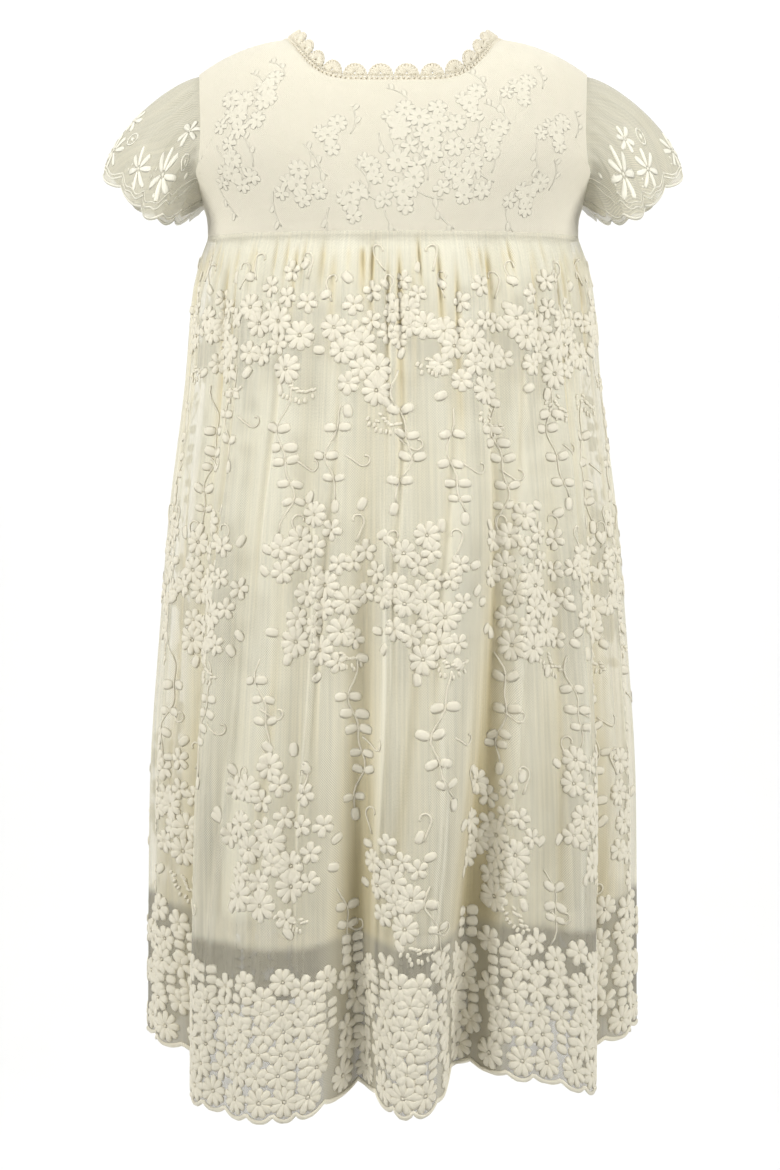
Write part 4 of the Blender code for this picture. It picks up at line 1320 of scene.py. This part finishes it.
def fern(work, anchor, x, y, size, turn):
    """A spray of small knots in pairs along a bending line; no stem is drawn."""
    for k in range(8):
        bend = turn + 0.10 * k
        reach = size * (k + 1) / 8
        middle_x, middle_y = x + reach * math.cos(bend), y + reach * math.sin(bend)
        for side in (-1, 1):
            off = side * 0.0016 * (1.3 - 0.09 * k) * work.chance.uniform(0.5, 1.5)
            slip = work.chance.normal() * 0.0007
            root = (middle_x - off * math.sin(bend) + slip, middle_y + off * math.cos(bend) + slip)
            work.petal(anchor, *root, bend + side * 0.9, 0.0031, 0.0018)


ivory_thread = satin_thread("ivory_satin_thread", (0.84, 0.80, 0.67, 1.0), (0.74, 0.685, 0.53, 1.0), 0.6)


def embroider_skirt(name, cloth, sprays, vines, seed):
    """All the embroidery of one panel above its border."""
    work = Embroidery(cloth, seed, relief=0.00078)
    edge = CLEAR_OF_SEAM / cloth.run[len(cloth.run) // 2, -1]

    def place_for(angle, level, clear):
        """An anchor on the flat net, kept clear of the side seams."""
        return min(max((angle + 90.0) / 180.0, edge * clear), 1 - edge * clear), level / SKIRT_LENGTH

    for angle, level, flowers, wide, high, size in sprays:
        anchor = place_for(angle, level, 1.4)
        spray(work, anchor, flowers, wide, high, size)
        for way in (-1, 1):
            tendril(work, anchor, way * 0.016 * size, 0.020 * size, 0.0095, 1.57 - way * 0.4, way)
        fern(work, anchor, 0.006, -0.026 * size * high, 0.016, -1.9 + work.chance.random())
    for angle, level, length, pairs in vines:
        anchor = place_for(angle, level, 0.6)
        vine(work, anchor, length, pairs)
        tendril(work, anchor, 0.0, -length * 0.5, 0.009, -0.6, 1)
    piece = work.finish_as(name, ivory_thread)
    return piece


front_cloth, back_cloth = cloth_of(False), cloth_of(True)
skirt_flowers_front = embroider_skirt("skirt_embroidery_front", front_cloth, SPRAYS_FRONT, VINES_FRONT, 21)
sprays_back, vines_back = shifted_round(SPRAYS_FRONT), shifted_round(VINES_FRONT)
skirt_flowers_back = embroider_skirt("skirt_embroidery_back", back_cloth, sprays_back, vines_back, 22)


# The hem border
# A close border about 7 cm deep: a large flower in each scallop, rows of smaller flowers with groups of
# paired leaves among them, and a rim of buttonhole stitch that the scallops are cut along.

SCALLOP_FLOWER_UP = 0.0112
BORDER_ROWS = (
    # height above the hem, how many across a panel, size
    (0.0250, 40, 0.0075),
    (0.0362, 41, 0.0072),
    (0.0474, 39, 0.0076),
    (0.0584, 41, 0.0072),
    (0.0680, 39, 0.0074),
)


def scallop_rim(work, width):
    """The rim of buttonhole stitch along the scalloped edge."""
    share = np.linspace(0.002, 0.998, SCALLOPS_A_PANEL * 14 + 1)
    hem = SKIRT_LENGTH - scallops(share)
    x, y = share * width, -hem
    ahead = unit(np.stack([np.gradient(x), np.gradient(y)], -1))
    side = np.stack([-ahead[:, 1], ahead[:, 0]], -1)
    ring = np.array([(-0.0003, 0.0), (0.0003, 0.0007), (0.0011, 0.0009),
                     (0.0019, 0.0006), (0.0022, 0.0), (0.0010, -0.0003)])
    off_x = side[:, :1] * ring[None, :, 0]
    off_y = side[:, 1:] * ring[None, :, 0]
    count, around = off_x.shape
    anchor = (np.repeat(share, around), np.repeat(hem / SKIRT_LENGTH, around))
    height = np.broadcast_to(ring[None, :, 1], off_x.shape)
    along = np.broadcast_to(x[:, None], off_x.shape)
    flat = np.stack([along, np.broadcast_to(ring[None, :, 0], off_x.shape)], -1)
    faces = [face[::-1] for face in cord_faces(count, around)]
    faces += [tuple(range(around)), tuple(reversed(range((count - 1) * around, count * around)))]
    work.add(anchor, off_x.ravel(), off_y.ravel(), height.ravel(), flat.reshape(-1, 2), faces)


def embroider_border(name, cloth, seed):
    """The border of one panel, from its rim up to its last row of flowers."""
    work = Embroidery(cloth, seed, relief=0.00100)
    width = cloth.run[-1, -1]
    scallop_rim(work, width)
    for number in range(SCALLOPS_A_PANEL):
        anchor = ((number + 0.5) / SCALLOPS_A_PANEL, 1.0)
        work.flower(anchor, 0.0, SCALLOP_FLOWER_UP, 9, 0.0086, 0.16)
        work.knot(anchor, 0.0, SCALLOP_FLOWER_UP, 0.0018)
    for row, (up, across, radius) in enumerate(BORDER_ROWS):
        for number in range(across):
            share = (number + (0.5 if row % 2 else 0.98)) / across
            if not 0.01 < share < 0.99:
                continue
            anchor = (share, 1.0)
            x, y = work.chance.normal(size=2) * 0.0007
            if row == len(BORDER_ROWS) - 1:
                y += (0.0, 0.0052, -0.0015, 0.0070, 0.0015)[number % 5]
            if (number * 3 + row * 2) % 7 == 0:
                for lift in (-0.0052, 0.0002, 0.0056):
                    for turn in (0.12, math.pi - 0.12):
                        root = x + 0.0002 * math.copysign(1, math.cos(turn))
                        work.petal(anchor, root, up + y + lift, turn, 0.0072, 0.0052)
                continue
            petals = (6, 8, 5, 7)[(number + row) % 4]
            work.flower(anchor, x, up + y, petals, radius * (1.06 if petals == 8 else 1.0))
            work.knot(anchor, x, up + y, 0.0014)
    piece = work.finish_as(name, ivory_thread)
    return piece


border_front = embroider_border("hem_border_front", front_cloth, 31)
border_back = embroider_border("hem_border_back", back_cloth, 32)


# The sleeves
# Two flutter sleeves, each one curved piece of the same net set into the armhole and left open under the
# arm. The free edge is scalloped and corded, with two wavy cords, open flowers and ringed knots by it.

SLEEVE_HEM = (
    # share, across, backward, up
    (0.00, 0.1095, -0.0215, -0.0950),
    (0.12, 0.1170, -0.0360, -0.0965),
    (0.25, 0.1300, -0.0430, -0.0975),
    (0.38, 0.1460, -0.0330, -0.0850),
    (0.50, 0.1570, 0.0000, -0.0710),
    (0.62, 0.1460, 0.0330, -0.0840),
    (0.75, 0.1300, 0.0420, -0.0955),
    (0.88, 0.1170, 0.0350, -0.0955),
    (1.00, 0.1095, 0.0210, -0.0945),
)
SLEEVE_ROOT = 0.11
SLEEVE_SCALLOPS = 10
SLEEVE_SCALLOP_DEPTH = 0.0040
SLEEVE_CORDS = (
    # lift, width, wave
    (0.0010, 0.0015, 0.0),
    (0.0050, 0.0012, 0.0009),
    (0.0069, 0.0010, 0.0009),
)


def armhole_ring():
    """The yoke's edge round the left arm, from the front side seam over the shoulder to the back one."""
    front, back = np.linspace(0.0, FRONT_SEAM_CLIMB, 200), np.linspace(BACK_SEAM_CLIMB, 180.0, 200)
    climb = np.concatenate([front, back])
    side = np.minimum(armhole_side(climb), SIDE_SEAM)
    points = on_yoke(side, climb)
    run = np.concatenate([[0.0], np.cumsum(np.linalg.norm(np.diff(points, axis=0), axis=1))])
    return run / run[-1], points, out_of_yoke(side, climb)


def sleeve_points(share, down):
    """Points of the left sleeve: share runs round the armhole, and down goes from the seam to the edge."""
    run, ring, out = armhole_ring()

    def along(table, place):
        return np.stack([np.interp(place, run, table[:, k]) for k in range(3)], -1)

    place = SLEEVE_ROOT + (1.0 - 2 * SLEEVE_ROOT) * share
    normal = unit(along(out, place))
    outward = unit(np.cross(along(ring, place + 0.01) - along(ring, place - 0.01), normal))
    root = along(ring, place) + outward * SEAM_GAP
    hem = curve_through(SLEEVE_HEM, share)
    fullness = np.sin(math.pi * share)[..., None]
    scallop = (np.abs(np.sin(math.pi * SLEEVE_SCALLOPS * share)) ** 0.7)[..., None]
    hem = hem + unit(hem - root) * SLEEVE_SCALLOP_DEPTH * scallop
    reach = np.linalg.norm(hem - root, axis=-1, keepdims=True)
    up = np.array([0.0, 0.0, 1.0])
    near, far = root + outward * 0.30 * reach + up * 0.009 * fullness, hem + up * 0.30 * reach * fullness
    down = down[..., None]
    keep = 1.0 - down
    points = keep**3 * root + 3 * keep**2 * down * near + 3 * keep * down**2 * far + down**3 * hem
    turn = (math.pi * (share - 0.5))[..., None]
    away = np.concatenate([np.cos(turn), np.sin(turn), turn * 0], -1)
    ripple = np.sin(10 * math.pi * share)[..., None] * 0.0022 * down**1.5 * fullness
    pleat = np.sin(46 * math.pi * share + 2.0 * np.sin(9.0 * share))[..., None] * 0.0006
    return points + away * (ripple + pleat * (1.0 - down) ** 1.5 * fullness * np.minimum(down * 12.0, 1.0))


def sleeve_cloth(sign, rows, columns):
    share, down = np.meshgrid(np.linspace(0.0, 1.0, columns), np.linspace(0.0, 1.0, rows))
    points = sleeve_points(share, down)
    return points if sign > 0 else points[:, ::-1] * (-1.0, 1.0, 1.0)


def open_flower(work, anchor, x, y, petals, radius):
    """A flower of long narrow petals with net between them, and a knot in its middle."""
    for k in range(petals):
        turn = 0.3 + 2 * math.pi * k / petals + work.chance.normal() * 0.10
        length = radius * work.chance.uniform(0.78, 0.92)
        root = (x + 0.10 * radius * math.cos(turn), y + 0.10 * radius * math.sin(turn))
        work.petal(anchor, *root, turn, length, 0.0030, 0.45)
    work.knot(anchor, x, y, 0.0014)


def sleeve_motifs(work):
    """The cords, flowers, ringed knots and dots along the sleeve's edge."""
    reach = work.cloth.fall[-1]
    reach_share = np.linspace(0, 1, len(reach))
    for lift, width, wavy in SLEEVE_CORDS:
        share = np.linspace(0.004, 0.996, SLEEVE_SCALLOPS * 16 + 1)
        place = 1.0 - lift / np.interp(share, reach_share, reach)
        edge = work.cloth.run[-1, -1]
        x = share * edge
        wave = wavy * np.cos(4 * math.pi * SLEEVE_SCALLOPS * share)
        ring = np.array([(-0.5, 0.0), (0.0, 0.9), (0.5, 0.0), (0.0, -0.3)])
        off_y = ring[None, :, 0] * width + wave[:, None]
        height = np.broadcast_to(ring[None, :, 1] * work.relief, off_y.shape)
        flat = np.stack([np.broadcast_to(x[:, None], off_y.shape), off_y], -1)
        faces = [(a, d, c, b) for a, b, c, d in cord_faces(len(share), 4)]
        anchor = (np.repeat(share, 4), np.repeat(place, 4))
        work.add(anchor, off_y.ravel() * 0, off_y.ravel(), height.ravel(), flat.reshape(-1, 2), faces)
    for number in range(SLEEVE_SCALLOPS):
        share = (number + 0.5) / SLEEVE_SCALLOPS
        anchor = (share, 1.0)
        tall = float(np.interp(share, reach_share, reach))
        work.knot(anchor, 0.0, 0.0094, 0.0016)
        if tall < 0.024:
            continue
        open_flower(work, anchor, 0.0, 0.0160, 7, 0.0092)
        if tall > 0.034 and number % 2:
            ring = np.linspace(0.0, 2 * math.pi, 13)
            x, y, radius = 0.009, 0.0250, 0.0030
            work.stem(anchor, x + radius * np.cos(ring), y + radius * np.sin(ring), 0.0010)
            work.knot(anchor, x, y, 0.0022)
            open_flower(work, anchor, -0.003, 0.0310, 6, 0.0066)
        for k in range(3):
            work.knot(anchor, -0.008 + 0.0014 * k, 0.0115 + 0.0030 * k, 0.0012)


# Painted shade: the sleeves' net is the skirt's net given much darker colours and drawn denser.
shaded_sleeve_net = net_finish(
    "shaded_sleeve_net", (0.565, 0.54, 0.43, 1.0), (0.50, 0.46, 0.34, 1.0), (0.50, 0.48, 0.40, 1.0), 0.62
)
sleeve_thread = satin_thread("sleeve_satin_thread", (0.87, 0.85, 0.74, 1.0), (0.78, 0.75, 0.62, 1.0), 0.60)
for side_name, sign in (("left", 1), ("right", -1)):
    points = sleeve_cloth(sign, 32, 261)
    sleeve = lay_cloth(f"sleeve_{side_name}_net", points, flat_sizes(points), shaded_sleeve_net)
    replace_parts(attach(sleeve, "root"), f"sleeve_{side_name}")
    work = Embroidery(LaidCloth(sleeve_cloth(sign, 121, 641)), 41 + sign, relief=0.00050)
    sleeve_motifs(work)
    motifs = work.finish_as(f"sleeve_{side_name}_embroidery", sleeve_thread)


# The studio
# A pale floor that sweeps up into the backdrop, large soft lights, and the camera in front of the dress,
# a little above its middle.

FLOOR_HEIGHT = -1.00
SWEEP_START = 1.6
SWEEP_RADIUS = 1.2


def studio_sweep():
    """The floor and backdrop in one, from a plane bent up behind the dress."""
    profile = [(-6.0, 0.0), (SWEEP_START, 0.0)]
    for bend in np.linspace(0.0, math.pi / 2, 14)[1:]:
        back, up = SWEEP_RADIUS * math.sin(bend), SWEEP_RADIUS - SWEEP_RADIUS * math.cos(bend)
        profile.append((SWEEP_START + back, up))
    profile.append((SWEEP_START + SWEEP_RADIUS, 6.0))
    points = [(x, y, FLOOR_HEIGHT + z) for x in (-7.0, 7.0) for y, z in profile]
    count = len(profile)
    faces = [(i, i + count, i + count + 1, i + 1) for i in range(count - 1)]
    mesh = bpy.data.meshes.new("studio_sweep")
    mesh.from_pydata(points, [], faces)
    mesh.shade_smooth()
    material, shader, start = finish("studio_paper")
    grain = cloudy(start, start.node("ShaderNodeTexCoord", {}, {}, 3), 3.0)
    tone = blend(start, grain, (0.93, 0.93, 0.925, 1.0), (0.95, 0.95, 0.945, 1.0))
    feed(start, shader, {"Base Color": tone, "Roughness": 0.95, "Specular IOR Level": 0.1})
    mesh.materials.append(material)
    sweep = put_in_scene("studio_sweep", mesh)


def aim(made, place, target):
    """Sets a light or the camera at a place and turns it to a target."""
    made.location = place
    made.rotation_mode = "QUATERNION"
    made.rotation_quaternion = (Vector(target) - Vector(place)).to_track_quat("-Z", "Y")


def soft_light(name, place, target, size, power):
    lamp = bpy.data.lights.new(name, "AREA")
    lamp.shape, lamp.size, lamp.size_y, lamp.energy = "RECTANGLE", size[0], size[1], power
    aim(put_in_scene(name, lamp), place, target)


studio_sweep()
soft_light("key_softbox", (-1.0, -0.68, 0.50), (0.0, 0.0, 0.0), (0.8, 0.8), 19.3)
soft_light("fill_softbox", (1.05, -0.68, 0.48), (0.0, 0.0, 0.0), (0.8, 0.8), 19.0)
soft_light("top_softbox", (0.0, 0.3, 1.6), (0.0, 0.0, -0.20), (2.4, 1.6), 3.0)
soft_light("backdrop_light", (0.0, 0.9, 1.8), (0.0, 2.8, 0.2), (3.0, 1.0), 52.0)
world = bpy.data.worlds.new("studio")
world.use_nodes = True
sky = world.node_tree.nodes["Background"]
sky.inputs[0].default_value = (1.0, 0.995, 0.98, 1.0)
sky.inputs[1].default_value = 0.20
bpy.context.scene.world = world

lens = bpy.data.cameras.new("camera")
lens.lens, lens.sensor_width = 87.9, 36.0
camera = put_in_scene("camera", lens)
aim(camera, (-0.0017, -1.6, -0.188), (-0.0017, 0.0, -0.302))
bpy.context.scene.camera = camera
bpy.context.scene.view_settings.view_transform = "Standard"
